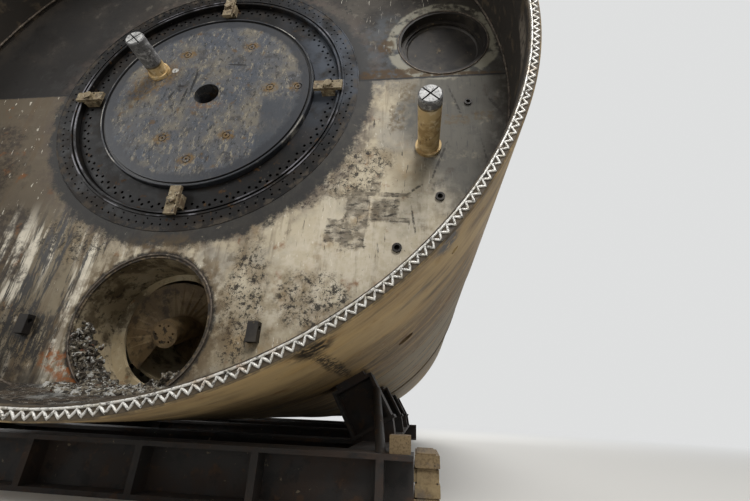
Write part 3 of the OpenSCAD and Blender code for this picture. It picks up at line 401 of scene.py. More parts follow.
# Shield skin: bare rolled plate with a film of dried mud outside, painted inside behind the bulkhead
skinHollow = near(3.258, 0.004)  # all that is inside the plate
skinChamber = [skinHollow, ramp("Y", 0.05, 0.04)]
skinLook = {
    "colour": "#8c7450", "rough": 0.7, "grainMm": 12, "grainDeep": 0.0008, "shine": 0.35,
    "layers": [
        patch("#63503a", 900, 0.42, 0.6, 0.8, seed=1, stretch=(0.5, 1.4, 0.5)),
        patch("#a4844f", 460, 0.5, 0.66, 0.7, seed=2, stretch=(0.4, 1.6, 0.4)),
        patch("#b49d6f", 60, 0.5, 0.66, 0.35, seed=16, stretch=(0.14, 1, 0.14)),
        patch("#3d3124", 110, 0.53, 0.66, 0.5, seed=17, stretch=(0.16, 1, 0.16), grain=0.66),
        patch("#473d2f", 300, 0.5, 0.66, 0.7, seed=3, stretch=(0.4, 1.1, 0.4), grain=0.68),
        patch("#625f58", 160, 0.55, 0.68, 0.6, seed=4, stretch=(0.2, 1, 0.2)),
        patch("#6b421f", 220, 0.59, 0.7, 0.65, seed=5, rough=0.9),
        patch("#211b14", 60, 0.62, 0.67, 0.85, seed=6, grain=0.72),
        patch("#a89a7b", 50, 0.64, 0.7, 0.7, seed=7, stretch=(0.35, 1, 0.35)),
        # Mud and oil that ran down the sides of the shell
        patch("#3b3124", 150, 0.58, 0.7, 0.45, seed=12, stretch=(0.5, 1.2, 0.12))],
    "steps": [
        # Golden dry mud behind the leading edge, and greyer tan with dark grooves on the rear lengths
        ([ramp("Y", 0.9, -0.3)], patch("#b59b6e", 300, 0.34, 0.58, 0.7, seed=20, stretch=(0.4, 1.1, 0.4))),
        ([ramp("Y", 0.8, 2.6)], patch("#857d6b", 420, 0.34, 0.58, 0.68, seed=21, stretch=(0.5, 1.1, 0.5))),
        *[([near(0.014, 0.03, centre=(0, y, 0), keep=(0, 1, 0), ragged=0.02, mm=140)],
            patch("#2c241a", 200, 0.4, 0.55, 0.8, seed=22)) for y in (3.1, 3.7, 4.45, 4.9, 5.8, 6.15)],
        # Burnt patch under the leading edge, and a smaller one where a line was burnt off
        *[([near(half, 0.12, centre=centre, keep=(1, 0.8, 1), ragged=0.09, mm=80)],
            patch("#0f0c0a", 50, 0.35, 0.5, 0.95, seed=13, rough=0.5))
            for centre, half in (((1.69, -0.69, -2.835), 0.07), ((2.5, -0.72, -2.14), 0.05))],
        # A dribble of tar that runs back from the burnt patch
        ([near(0.03, 0.04, centre=(1.675, 0.1, -2.845), keep=(1, 0.07, 0.5), ragged=0.035, mm=90)],
            patch("#17120e", 40, 0.4, 0.52, 0.9, seed=18)),
        # Dark land between the beads of the leading edge
        ([near(0.026, 0.008, radius=3.262, ragged=0.006, mm=40),
            ramp("Y", shield["edgeY"] + 0.004, shield["edgeY"] + 0.001)],
            patch("#1c1712", 50, 0.25, 0.42, 0.92, seed=19)),
        # Dirt packed in the joints between the three lengths of the shield
        *[([near(0.012, 0.03, centre=(0, y, 0), keep=(0, 1, 0), ragged=0.012, mm=90)],
            patch("#17130f", 80, seed=14)) for y in (2.14, 5.36)],
        # Inside: off-white paint behind the bulkhead; in the chamber, dark dried spoil with painted shade
        ([skinHollow, ramp("Y", 0.04, 0.05)],
            patch("#c4c0b4", 600, rough=0.5),
            patch("#8f8672", 400, 0.5, 0.68, 0.7, seed=8),
            patch("#5e4a33", 90, 0.6, 0.72, 0.7, seed=9, rough=0.85)),
        (skinChamber,
            patch("#26211b", 600, rough=0.8),
            patch("#4c4132", 150, 0.52, 0.66, 0.75, seed=10, lift=0.003)),
        # A strip of the chamber's side is rubbed to bare steel
        ([near(0.06, 0.07, centre=(3.2, -0.62, -0.25), keep=(0.2, 1, 0.35), ragged=0.03, mm=90), *skinChamber],
            patch("#7d7468", 60, 0.34, 0.54, 0.75, seed=15, rough=0.5)),
        # The turned rim of the leading edge, under the weld
        ([near(0.012, 0.012, centre=(0, shield["edgeY"], 0), keep=(0, 1, 0), ragged=0.008, mm=60)],
            patch("#54493a", 60, 0.3, 0.6, 0.8, seed=11))],
}

# Screw mouth: the casing's worn steel, its front edge black with oil and its wall blotched with wet clay
mouthLook = {
    "colour": "#8f8167", "rough": 0.68, "shine": 0.3, "grainDeep": 0.0012,
    "layers": [
        patch("#a3977f", 300, 0.46, 0.62, 0.7, seed=1),
        patch("#4a3e2c", 200, 0.46, 0.6, 0.85, seed=2),
        patch("#2a2219", 70, 0.53, 0.62, 0.8, seed=3, grain=0.72),
        patch("#bcb29b", 30, 0.6, 0.66, 0.6, seed=4, grain=0.75)],
    "steps": [([ramp("Y", 0.03, 0.004)],
        patch("#4a3b28", 120, 0.2, 0.4, 0.8, seed=5),
        patch("#17120d", 60, 0.42, 0.54, 0.9, seed=6, grain=0.7))],
}

# Auger: steel wet with brown clay, the end of its shaft rubbed tan
augerLook = {
    "colour": "#58472f", "rough": 0.55, "shine": 0.3, "grainMm": 7, "grainDeep": 0.0012,
    "layers": [
        patch("#77664a", 150, 0.5, 0.64, 0.6, seed=1),
        patch("#241b12", 90, 0.5, 0.62, 0.7, seed=2, grain=0.7),
        patch("#7c6c53", 34, 0.62, 0.69, 0.6, seed=3, grain=0.75)],
    "steps": [([near(0.1, 0.03, centre=shield["screwTip"], keep=(1, 2, 1))],
        patch("#6f5b3f", 120, 0.2, 0.45, 0.85, seed=4),
        patch("#17110b", 60, 0.53, 0.58, 0.9, seed=5, grain=0.7))],
}

# Finishes by name, the plainer ones with their layers here
finishLooks = {
    "scouredPrimer": bulkheadLook, "greasyBearingSteel": bearingLook, "wornDiscPaint": discLook,
    "muddyHardFacing": barLook, "muddyRolledPlate": skinLook, "mouthSteel": mouthLook, "wetAugerSteel": augerLook,
    # Hard-wearing weld metal: bare, silvery white, lumpy, dark in its hollows
    "hardWeld": {"colour": "#d0cdc6", "rough": 0.42, "metallic": 0.4, "grainMm": 7, "grainDeep": 0.003, "layers": [
        patch("#9a927f", 50, 0.5, 0.62, 0.7, seed=1, grain=0.7),
        patch("#2f281e", 30, 0.53, 0.61, 0.85, seed=2, rough=0.8, grain=0.75),
        patch("#a5835a", 240, 0.56, 0.68, 0.5, seed=3)]},
    # Mild steel weld left bare: brown with a dull shine
    "plainWeld": {"colour": "#4e443a", "rough": 0.55, "metallic": 0.5, "grainMm": 6, "grainDeep": 0.001, "layers": [
        patch("#7d7263", 40, 0.5, 0.65, 0.6, seed=1),
        patch("#1d1813", 60, 0.5, 0.62, 0.8, seed=2)]},
    # Painted plate inside the shield: off-white, handled and oily
    "insidePaint": {"colour": "#bdb9ac", "rough": 0.5, "grainMm": 5, "grainDeep": 0.0003, "layers": [
        patch("#9d9684", 600, 0.45, 0.65, 0.7, seed=1),
        patch("#6f675a", 140, 0.56, 0.7, 0.7, seed=2, stretch=(1, 1, 0.25)),
        patch("#6a4526", 60, 0.64, 0.7, 0.8, seed=3, rough=0.9),
        patch("#2a2621", 45, 0.67, 0.7, 0.8, seed=4)]},
    # Screw conveyor: worn steel plate with dried spoil, grey-brown, polished where spoil slides
    "wornScrewSteel": {"colour": "#9a8a6c", "rough": 0.66, "shine": 0.35, "grainDeep": 0.001, "layers": [
        patch("#b3a78d", 360, 0.46, 0.62, 0.75, seed=1),
        patch("#4b3f2d", 220, 0.48, 0.62, 0.85, seed=2, lift=0.001),
        patch("#bdaf93", 60, 0.56, 0.66, 0.5, seed=5, grain=0.7),
        patch("#6e4623", 120, 0.6, 0.7, 0.6, seed=3, rough=0.9),
        patch("#1c1712", 50, 0.64, 0.69, 0.8, seed=4)]},
    # Machine enamel on the motors and gearboxes: blue, oily at the joints
    "driveEnamel": {"colour": "#2f5573", "rough": 0.35, "grainMm": 3, "grainDeep": 0.0002, "coatWeight": 0.2,
        "layers": [
        patch("#24445e", 300, 0.45, 0.65, 0.6, seed=1),
        patch("#1a1815", 90, 0.6, 0.7, 0.75, seed=2, rough=0.5),
        patch("#8c8676", 120, 0.62, 0.72, 0.5, seed=3, rough=0.8)]},
    # Cylinder barrels: grey-blue enamel with oil film
    "cylinderEnamel": {"colour": "#566777", "rough": 0.35, "grainMm": 3, "grainDeep": 0.0002, "coatWeight": 0.2,
        "layers": [
        patch("#44525f", 260, 0.46, 0.64, 0.6, seed=1),
        patch("#232120", 80, 0.62, 0.7, 0.7, seed=2),
        patch("#8a7a5f", 150, 0.6, 0.7, 0.5, seed=3, rough=0.8)]},
    # Hard chrome on the rods: mirror-bright with a thin oil film
    "rodChrome": {"colour": "#c9cbcc", "rough": 0.14, "metallic": 1.0, "grainMm": 4, "grainDeep": 0.00004,
        "layers": [patch("#9b9a94", 180, 0.52, 0.7, 0.6, seed=1, rough=0.3)]},
    # Tail brush wire: spring steel, brassy with grease
    "brushWire": {"colour": "#8a7548", "rough": 0.5, "metallic": 0.6, "grainMm": 3, "grainDeep": 0.0003, "layers": [
        patch("#3a2f1d", 90, 0.48, 0.62, 0.8, seed=1),
        patch("#b7a271", 30, 0.58, 0.68, 0.7, seed=2)]},
    # Erector: yellow machine enamel, rubbed to steel at the edges
    "erectorEnamel": {"colour": "#c79a22", "rough": 0.42, "grainMm": 4, "grainDeep": 0.0002, "layers": [
        patch("#a98327", 400, 0.45, 0.65, 0.7, seed=1),
        patch("#55492f", 130, 0.58, 0.7, 0.75, seed=2, rough=0.7),
        patch("#7d7a72", 50, 0.66, 0.7, 0.8, seed=3),
        patch("#1e1a14", 70, 0.66, 0.71, 0.7, seed=4)]},
    # Cradle: mill steel left outdoors. Near-black scale with brown rust on the edges and mud on top
    "scaledCradleSteel": {"colour": "#231f1c", "rough": 0.7, "metallic": 0.2, "grainMm": 6, "grainDeep": 0.0009,
        "layers": [
        patch("#33271f", 320, 0.45, 0.62, 0.85, seed=1, rough=0.85),
        patch("#4b3727", 110, 0.56, 0.68, 0.75, seed=2, rough=0.9),
        patch("#12100f", 150, 0.54, 0.66, 0.8, seed=3),
        patch("#857761", 60, 0.65, 0.71, 0.6, seed=4)]},
    # Door and loose fittings: bare steel gone dark with oil and dust
    "oiledFitting": {"colour": "#26221e", "rough": 0.6, "metallic": 0.2, "shine": 0.35, "grainMm": 6,
        "grainDeep": 0.0006, "layers": [
        patch("#3d372f", 260, 0.46, 0.64, 0.7, seed=1),
        patch("#161311", 160, 0.5, 0.64, 0.8, seed=2),
        patch("#77684f", 70, 0.62, 0.7, 0.6, seed=3, rough=0.85)]},
    # Clamps: pale primer rubbed with mud, tan with dark scars
    "clampPrimer": {"colour": "#7b6d53", "rough": 0.75, "grainMm": 5, "grainDeep": 0.0012, "layers": [
        patch("#584733", 80, 0.45, 0.6, 0.85, seed=1, grain=0.7),
        patch("#aca187", 40, 0.54, 0.64, 0.75, seed=2, grain=0.7),
        patch("#15110d", 36, 0.555, 0.62, 0.9, seed=3, grain=0.75)]},
    # Spoil: clay and broken rock, brown where wet, blue-grey where it has dried
    "driedSpoil": {"colour": "#443a2e", "rough": 0.95, "grainMm": 12, "grainDeep": 0.008, "shine": 0.3, "layers": [
        patch("#83837e", 300, 0.5, 0.62, 0.8, seed=1, grain=0.7),
        patch("#1d1813", 90, 0.5, 0.58, 0.9, seed=2, grain=0.75, lift=-0.008),
        patch("#b3aea2", 30, 0.57, 0.62, 0.85, seed=3, grain=0.75, lift=0.005)]},
    # Broken rock on the heap: grey and sharp, some of it brown
    "brokenRock": {"colour": "#6b6355", "rough": 0.92, "grainMm": 9, "grainDeep": 0.003, "shine": 0.35, "layers": [
        patch("#2a231b", 60, 0.47, 0.53, 0.92, seed=1),
        patch("#a5a39c", 42, 0.54, 0.58, 0.9, seed=2),
        patch("#100d0a", 48, 0.57, 0.6, 0.9, seed=3),
        patch("#5a3019", 90, 0.62, 0.66, 0.85, seed=4)]},
    # Sawn softwood packing: tan with grey weathering, the grain along the block
    "sawnTimber": {"colour": "#7d6a4c", "rough": 0.78, "grainMm": 5, "grainDeep": 0.0012,
        "grainStretch": (3, 0.15, 3), "layers": [
        patch("#57462d", 14, 0.46, 0.6, 0.65, seed=1, stretch=(1, 0.05, 1), detail=3),
        patch("#94815e", 300, 0.5, 0.66, 0.6, seed=2),
        patch("#5d5348", 130, 0.54, 0.66, 0.75, seed=3, stretch=(1, 0.4, 1)),
        patch("#241c14", 60, 0.64, 0.7, 0.8, seed=4)]},
}
finishes = {name: makeFinish(name, look) for name, look in finishLooks.items()}
print("materials made:", len(finishes))

# The CAD nodes that each finish goes on
finishNodes = {
    "muddyRolledPlate": ["front_skin", "middle_skin", "tail_skin"],
    "scouredPrimer": ["bulkhead"],
    "greasyBearingSteel": ["bearing_flange", "drive_ring"],
    "wornDiscPaint": ["centre_disc"],
    "muddyHardFacing": ["mixing_bars"],
    "clampPrimer": ["lock_brackets"],
    "mouthSteel": ["mouth_ring"],
    "wetAugerSteel": ["auger"],
    "wornScrewSteel": ["screw_casing", "screw_outlet"],
    "insidePaint": ["bulkhead_ribs", "main_drive_housing", "lock_chamber", "frame_ties", "ring_frames", "screw_yoke",
        "work_platforms"],
    "oiledFitting": ["bulkhead_fittings", "outlet_gate", "lock_coaming", "lock_door", "erector_head"],
    "driveEnamel": ["drive_motors", "screw_drive"],
    "cylinderEnamel": ["rotary_union", "thrust_barrels", "articulation_cylinders"],
    "rodChrome": ["rams_top", "rams_left", "rams_bottom", "rams_right"],
    "brushWire": ["tail_brushes"],
    "erectorEnamel": ["erector_frame", "erector_ring"],
    "driedSpoil": ["spoil_heap"],
    "scaledCradleSteel": ["cradle_rails", "cradle_cross_beams", "cradle_saddles", "cradle_struts"],
    "sawnTimber": ["timber_blocks"],
}
for finish, names in finishNodes.items():
    for name in names:
        for index in range(len(nodes[name].material_slots)):
            nodes[name].data.materials[index] = finishes[finish]
print("CAD nodes dressed:", sum(len(names) for names in finishNodes.values()))


def newTree(name, sizes):  # an empty node tree with a base and an input for each of the sizes
    tree = bpy.data.node_groups.new(name, "GeometryNodeTree")
    tree.interface.new_socket(name="base", in_out="INPUT", socket_type="NodeSocketGeometry")
    for label, value in sizes.items():
        kind = "NodeSocketInt" if isinstance(value, int) else "NodeSocketFloat"
        tree.interface.new_socket(name=label, in_out="INPUT", socket_type=kind)
    tree.interface.new_socket(name="result", in_out="OUTPUT", socket_type="NodeSocketGeometry")
    return tree, addNode(tree, "NodeGroupInput").outputs


def closeTree(tree, shape, finish):  # realized, given its material and sent to the output
    real = addNode(tree, "GeometryNodeRealizeInstances", links={"Geometry": shape})
    painted = addNode(tree, "GeometryNodeSetMaterial", {"Material": finishes[finish]}, {"Geometry": real})
    addNode(tree, "NodeGroupOutput", links={"result": painted})
    return tree


def facingWay(tree):  # the turn from upright to the way that a point faces
    way = addNode(tree, "GeometryNodeInputNamedAttribute", {"data_type": "FLOAT_VECTOR", "Name": "facing"})
    return addNode(tree, "FunctionNodeAlignRotationToVector", {"axis": "Z"}, {"Vector": way})


def noisePush(tree, noise, reach):  # a push of up to half of reach each way, from the colours of a noise
    centred = addNode(tree, "ShaderNodeVectorMath", {"operation": "SUBTRACT", 1: (0.5, 0.5, 0.5)},
        {0: noise.outputs["Color"]})
    return addNode(tree, "ShaderNodeVectorMath", {"operation": "SCALE"}, {0: centred, "Scale": reach})


def growPiece(name, tree, sizes, base, body="shield"):  # the tree's result as a plain mesh on a body
    grower = bpy.data.objects.new(name + "Base", base)
    bpy.context.collection.objects.link(grower)
    modifier = grower.modifiers.new("Grow", "NODES")
    modifier.node_group = tree
    for item in tree.interface.items_tree:
        if item.in_out == "INPUT" and item.name in sizes:
            modifier[item.identifier] = sizes[item.name]
    grower.update_tag()
    depsgraph = bpy.context.evaluated_depsgraph_get()
    mesh = bpy.data.meshes.new_from_object(grower.evaluated_get(depsgraph))
    mesh.name = name
    bpy.data.objects.remove(grower)
    piece = bpy.data.objects.new(name, mesh)
    bpy.context.collection.objects.link(piece)
    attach(piece, body)
    return piece


def pointMesh(name, spots):  # loose points, each with the way that its bolt, stone or wire faces
    mesh = bpy.data.meshes.new(name)
    mesh.from_pydata([tuple(spot[0]) for spot in spots], [], [])
    facing = mesh.attributes.new("facing", "FLOAT_VECTOR", "POINT")
    facing.data.foreach_set("vector", [c for spot in spots for c in spot[1]])
    return mesh


# Bolts: hexagon heads on thin washers, whose size is a share of the head's
boltShape = {"sizes": {"head": 0.02, "height": 0.02}, "washerWide": 1.3, "washerThin": 0.25, "washerCorners": 12}


def makeBoltTree(look):
    tree, given = newTree("boltHeads", look["sizes"])
    head = addNode(tree, "GeometryNodeMeshCylinder", {"Vertices": 6}, {"Radius": given["head"],
        "Depth": given["height"]})
    wide, thin, half = (addNode(tree, "ShaderNodeMath", {"operation": "MULTIPLY", 1: share}, {0: given[size]})
        for size, share in (("head", look["washerWide"]), ("height", look["washerThin"]), ("height", 0.5)))
    washer = addNode(tree, "GeometryNodeMeshCylinder", {"Vertices": look["washerCorners"]},
        {"Radius": wide, "Depth": thin})
    lift = addNode(tree, "ShaderNodeCombineXYZ", links={"Z": half})
    raised = addNode(tree, "GeometryNodeTransform", links={"Geometry": head, "Translation": lift})
    bolt = addNode(tree, "GeometryNodeJoinGeometry", links={0: raised})
    tree.links.new(washer.outputs[0], bolt.inputs[0])
    copies = addNode(tree, "GeometryNodeInstanceOnPoints", links={"Points": given["base"], "Instance": bolt,
        "Rotation": facingWay(tree)})
    return closeTree(tree, copies, "oiledFitting")


def boltRing(centre, radius, count, axis=(0, 1, 0), way=1):  # evenly spaced bolts, facing along the ring's axis
    axis, side = Vector(axis).normalized(), Vector((1, 0, 0))
    up = axis.cross(side)
    angles = [2 * math.pi * i / count for i in range(count)]
    return [(Vector(centre) + radius * (math.cos(a) * side + math.sin(a) * up), axis * way) for a in angles]


screwAxis = Vector((0, math.cos(shield["screwSlope"]), math.sin(shield["screwSlope"])))
screwUp = Vector((0, -math.sin(shield["screwSlope"]), math.cos(shield["screwSlope"])))


def screwRing(along, radius, count, way=1, aside=(0.0, 0.0)):  # bolts about the screw's axis, that far from its tip
    centre = Vector(shield["screwTip"]) + along * screwAxis + Vector((aside[0], 0, 0)) + aside[1] * screwUp
    return boltRing(centre, radius, count, screwAxis, way)


# Bolt heads, by piece: the rings they stand on, with the radius and height of a head. The screw has six motors
# and the bearing seven, at these angles.
screwMotors = [k * math.pi / 3 for k in range(6)]
driveMotors = [math.radians(d) for d in (-18, 18, 54, 90, 126, 162, 198)]
boltLooks = {
    "casingFlangeBolts": {"slot": "screw_steel", "head": 0.019, "height": 0.018, "rings":
        [screwRing(s + 0.07, 0.53, 28) for s in (1.5, 3.9, 6.3, 8.7)]
        + [screwRing(s, 0.53, 28, -1) for s in (3.9, 6.3, 8.7)]},
    "screwDriveBolts": {"slot": "drive_paint", "head": 0.02, "height": 0.02, "rings":
        [screwRing(10.2, 0.575, 32, -1), screwRing(10.65, 0.24, 12)]
        + [screwRing(10.69, 0.117, 8, 1, (0.4 * math.cos(a), 0.4 * math.sin(a))) for a in screwMotors]},
    "motorFlangeBolts": {"slot": "drive_paint", "head": 0.014, "height": 0.014, "rings":
        [boltRing((1.28 * math.cos(a), 0.82, 1.28 * math.sin(a)), 0.262, 16) for a in driveMotors]
        + [boltRing((1.28 * math.cos(a), 1.23, 1.28 * math.sin(a)), 0.238, 12) for a in driveMotors]},
    "lockRearBolts": {"slot": "inner_steel", "head": 0.015, "height": 0.015, "rings":
        [boltRing((2.447, 1.94, 0.68), 0.375, 20)]},
    "unionBolts": {"slot": "drive_paint", "head": 0.014, "height": 0.014, "rings":
        [boltRing((0, 0.84, 0), 0.275, 16)]},
    "jointFlangeBolts": {"slot": "inner_steel", "head": 0.024, "height": 0.026, "rings":
        [boltRing((0, 2.08, 0), 3.13, 96, way=-1), boltRing((0, 2.2, 0), 3.13, 96)]},
    "erectorHubBolts": {"slot": "erector_paint", "body": "erector_ring", "head": 0.02, "height": 0.02, "rings":
        [boltRing((0, 5.33, 0), 1.56, 60)]},
}
boltTree = makeBoltTree(boltShape)
for name, look in boltLooks.items():
    spots = [spot for ring in look["rings"] for spot in ring]
    growPiece(name, boltTree, look, pointMesh(name, spots), look.get("body", "shield"))
print("bolt circles grown:", len(boltLooks))

# Leading edge: a straight bead inside and a zigzag of weld out to the skin. The lumps are 1/lumpScale wide.
edgeLook = {
    "sizes": {"teeth": 300, "innerRadius": 3.236, "outerRadius": 3.279, "bead": 0.0088, "straightRadius": 3.226,
        "straightBead": 0.009, "station": -0.8025, "wander": 0.0095},
    "cuts": 2, "straightSteps": 900, "profile": 6, "lumpScale": 34.0, "lumpDetail": 3.0,
}


def makeZigzagTree(look):
    tree, given = newTree("zigzagWeld", look["sizes"])
    corners = addNode(tree, "ShaderNodeMath", {"operation": "MULTIPLY", 1: 2.0}, {0: given["teeth"]})
    ring = addNode(tree, "GeometryNodeMeshCircle", {"Radius": 1.0}, {"Vertices": corners})
    index = addNode(tree, "GeometryNodeInputIndex")
    odd = addNode(tree, "ShaderNodeMath", {"operation": "MODULO", 1: 2.0}, {0: index})
    radius = addNode(tree, "ShaderNodeMapRange", links={"Value": odd, "To Min": given["innerRadius"],
        "To Max": given["outerRadius"]})
    here = addNode(tree, "GeometryNodeInputPosition")
    out = addNode(tree, "ShaderNodeVectorMath", {"operation": "SCALE"}, {0: here, "Scale": radius})
    zigzag = addNode(tree, "GeometryNodeSetPosition", links={"Geometry": ring, "Position": out})
    rope = addNode(tree, "GeometryNodeMeshToCurve", links={"Mesh": zigzag})
    finer = addNode(tree, "GeometryNodeSubdivideCurve", {"Cuts": look["cuts"]}, {"Curve": rope})
    inner = addNode(tree, "GeometryNodeCurvePrimitiveCircle", {"Resolution": look["straightSteps"]},
        {"Radius": given["straightRadius"]})
    beads = addNode(tree, "GeometryNodeJoinGeometry")
    for curve, thick in ((finer, given["bead"]), (inner, given["straightBead"])):
        profile = addNode(tree, "GeometryNodeCurvePrimitiveCircle", {"Resolution": look["profile"]},
            {"Radius": thick})
        tube = addNode(tree, "GeometryNodeCurveToMesh", links={"Curve": curve, "Profile Curve": profile})
        tree.links.new(tube.outputs[0], beads.inputs[0])
    lump = addNode(tree, "ShaderNodeTexNoise", {"Scale": look["lumpScale"], "Detail": look["lumpDetail"]})
    lumpy = addNode(tree, "GeometryNodeSetPosition", links={"Geometry": beads,
        "Offset": noisePush(tree, lump, given["wander"])})
    back = addNode(tree, "ShaderNodeCombineXYZ", links={"Y": given["station"]})
    turned = addNode(tree, "GeometryNodeTransform", {"Rotation": (math.pi / 2, 0, 0)},
        {"Geometry": lumpy, "Translation": back})
    return closeTree(tree, turned, "hardWeld")


edgeWeld = growPiece("edgeZigzagWeld", makeZigzagTree(edgeLook), edgeLook["sizes"],
    bpy.data.meshes.new("edgeBase"))
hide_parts("edge_hardfacing")
print("edge weld grown")

# Fillet welds, each a rippled rope on the joint of two plates. The ripples are 1/lumpScale wide.
weldLooks = {
    "bulkheadWelds": {"finish": "plainWeld", "runs": [
        {"centre": (0, -0.004, 0), "radius": 3.226, "thick": 0.014},
        {"centre": (0, -0.001, -2.55), "radius": 0.62, "thick": 0.01},
        {"centre": (2.592, 0.038, 0.652), "radius": 0.493, "thick": 0.008}]},
    "flangeWeld": {"finish": "greasyBearingSteel", "runs": [
        {"centre": (0, 0.003, 0), "radius": 1.694, "thick": 0.008}]},
}
weldShape = {"step": 0.03, "fewest": 40, "profile": 6, "lumpScale": 45.0, "lumpDetail": 2.0}


def makeWeldTree(finish):  # a rope on every edge of the base, rippled along its length
    tree, given = newTree("weldRuns", {"thick": 0.01})
    rope = addNode(tree, "GeometryNodeMeshToCurve", links={"Mesh": given["base"]})
    profile = addNode(tree, "GeometryNodeCurvePrimitiveCircle", {"Resolution": weldShape["profile"]},
        {"Radius": given["thick"]})
    tube = addNode(tree, "GeometryNodeCurveToMesh", links={"Curve": rope, "Profile Curve": profile})
    lump = addNode(tree, "ShaderNodeTexNoise", {"Scale": weldShape["lumpScale"], "Detail": weldShape["lumpDetail"]})
    lumpy = addNode(tree, "GeometryNodeSetPosition", links={"Geometry": tube,
        "Offset": noisePush(tree, lump, given["thick"])})
    return closeTree(tree, lumpy, finish)


def ringMesh(name, run):  # a closed run of short edges about the Y axis
    (x, y, z), radius = run["centre"], run["radius"]
    count = max(weldShape["fewest"], int(radius * 2 * math.pi / weldShape["step"]))
    angles = [2 * math.pi * i / count for i in range(count)]
    mesh = bpy.data.meshes.new(name)
    mesh.from_pydata([(x + radius * math.cos(a), y, z + radius * math.sin(a)) for a in angles],
        [(i, (i + 1) % count) for i in range(count)], [])
    return mesh


for name, look in weldLooks.items():
    for number, run in enumerate(look["runs"]):
        growPiece(f"{name}{number}", makeWeldTree(look["finish"]), run, ringMesh(name, run))
print("welds grown")

# Broken rock on the spoil heap, denser round the screw mouth
rockLook = {
    "sizes": {"smallest": 0.007, "largest": 0.033, "chipPush": 0.02, "seed": 4},
    "count": 2900, "left": -1.28, "right": 1.08, "front": -0.62, "spread": 0.28, "gap": 0.03,
    "heapTop": -3.06, "heapSlope": math.radians(12), "reach": 3.13,
    # Dried spoil that clings inside the screw mouth, low and to the left
    "rim": 1100, "rimFrom": 178, "rimTo": 325, "rimMost": 235, "rimGap": 0.015, "rimSpread": 0.028,
    "rimDepth": (-0.02, 0.2),
    "chipScale": 26.0,
}


def makeRockTree(look):
    tree, given = newTree("rockScatter", look["sizes"])
    stone = addNode(tree, "GeometryNodeMeshIcoSphere", {"Radius": 1.0, "Subdivisions": 1})
    turn = addNode(tree, "FunctionNodeRandomValue", {"data_type": "FLOAT_VECTOR", 0: (0, 0, 0),
        1: (6.28, 6.28, 6.28)}, {"Seed": given["seed"]})
    size = addNode(tree, "FunctionNodeRandomValue", {"data_type": "FLOAT"}, {2: given["smallest"],
        3: given["largest"], "Seed": given["seed"]})
    copies = addNode(tree, "GeometryNodeInstanceOnPoints", links={"Points": given["base"], "Instance": stone,
        "Rotation": turn, "Scale": size.outputs[1]})
    real = addNode(tree, "GeometryNodeRealizeInstances", links={"Geometry": copies})
    chip = addNode(tree, "ShaderNodeTexVoronoi", {"Scale": look["chipScale"]})
    broken = addNode(tree, "GeometryNodeSetPosition", links={"Geometry": real,
        "Offset": noisePush(tree, chip, given["chipPush"])})
    return closeTree(tree, broken, "brokenRock")


def rockSpots(look):
    draw = random.Random(look["sizes"]["seed"])
    spots = []
    while len(spots) < look["count"]:
        x = draw.uniform(look["left"], look["right"])
        y = -abs(draw.gauss(0, look["spread"])) - look["gap"]
        if y < look["front"]:
            continue
        z = look["heapTop"] + math.tan(look["heapSlope"]) * y
        if math.hypot(x, z) > look["reach"]:
            continue
        spots.append(((x, y, z), (0, 0, 1)))
    for i in range(look["rim"]):
        a = math.radians(draw.triangular(look["rimFrom"], look["rimTo"], look["rimMost"]))
        r = shield["mouthRadius"] - look["rimGap"] - abs(draw.gauss(0, look["rimSpread"]))
        spots.append(((r * math.cos(a), draw.uniform(*look["rimDepth"]), shield["mouth"][2] + r * math.sin(a)),
            (0, 0, 1)))
    return spots


growPiece("heapRocks", makeRockTree(rockLook), rockLook["sizes"], pointMesh("rockPoints", rockSpots(rockLook)))
print("rocks scattered")

# Tail brushes: rows of wire that lean back against the lining
brushLook = {
    "sizes": {"length": 0.15, "thick": 0.0045},
    "rows": (8.02, 8.32, 8.62), "count": 1400, "root": 3.236, "tip": 3.158, "lean": 0.125, "seed": 11,
    "uneven": 0.3, "astray": 0.015, "deep": 0.05,
}


def makeBrushTree(look):
    tree, given = newTree("wireRows", look["sizes"])
    wire = addNode(tree, "GeometryNodeMeshCone", {"Vertices": 4, "Side Segments": 1},
        {"Radius Top": given["thick"], "Radius Bottom": given["thick"], "Depth": given["length"]})
    copies = addNode(tree, "GeometryNodeInstanceOnPoints", links={"Points": given["base"], "Instance": wire,
        "Rotation": facingWay(tree)})
    return closeTree(tree, copies, "brushWire")


def brushSpots(look):
    draw = random.Random(look["seed"])
    along = Vector((0, 1, 0))
    spots = []
    for y in look["rows"]:
        for i in range(look["count"]):
            a = 2 * math.pi * (i + draw.uniform(-look["uneven"], look["uneven"])) / look["count"]
            out = Vector((math.cos(a), 0, math.sin(a)))
            way = along * look["lean"] - out * (look["root"] - look["tip"])
            way += out.cross(along) * draw.uniform(-look["astray"], look["astray"])
            spots.append((out * look["root"] + Vector((0, y + draw.uniform(0.0, look["deep"]), 0)),
                way.normalized()))
    return spots


growPiece("brushWires", makeBrushTree(brushLook), brushLook["sizes"],
    pointMesh("brushPoints", brushSpots(brushLook)))
print("brush wires grown")

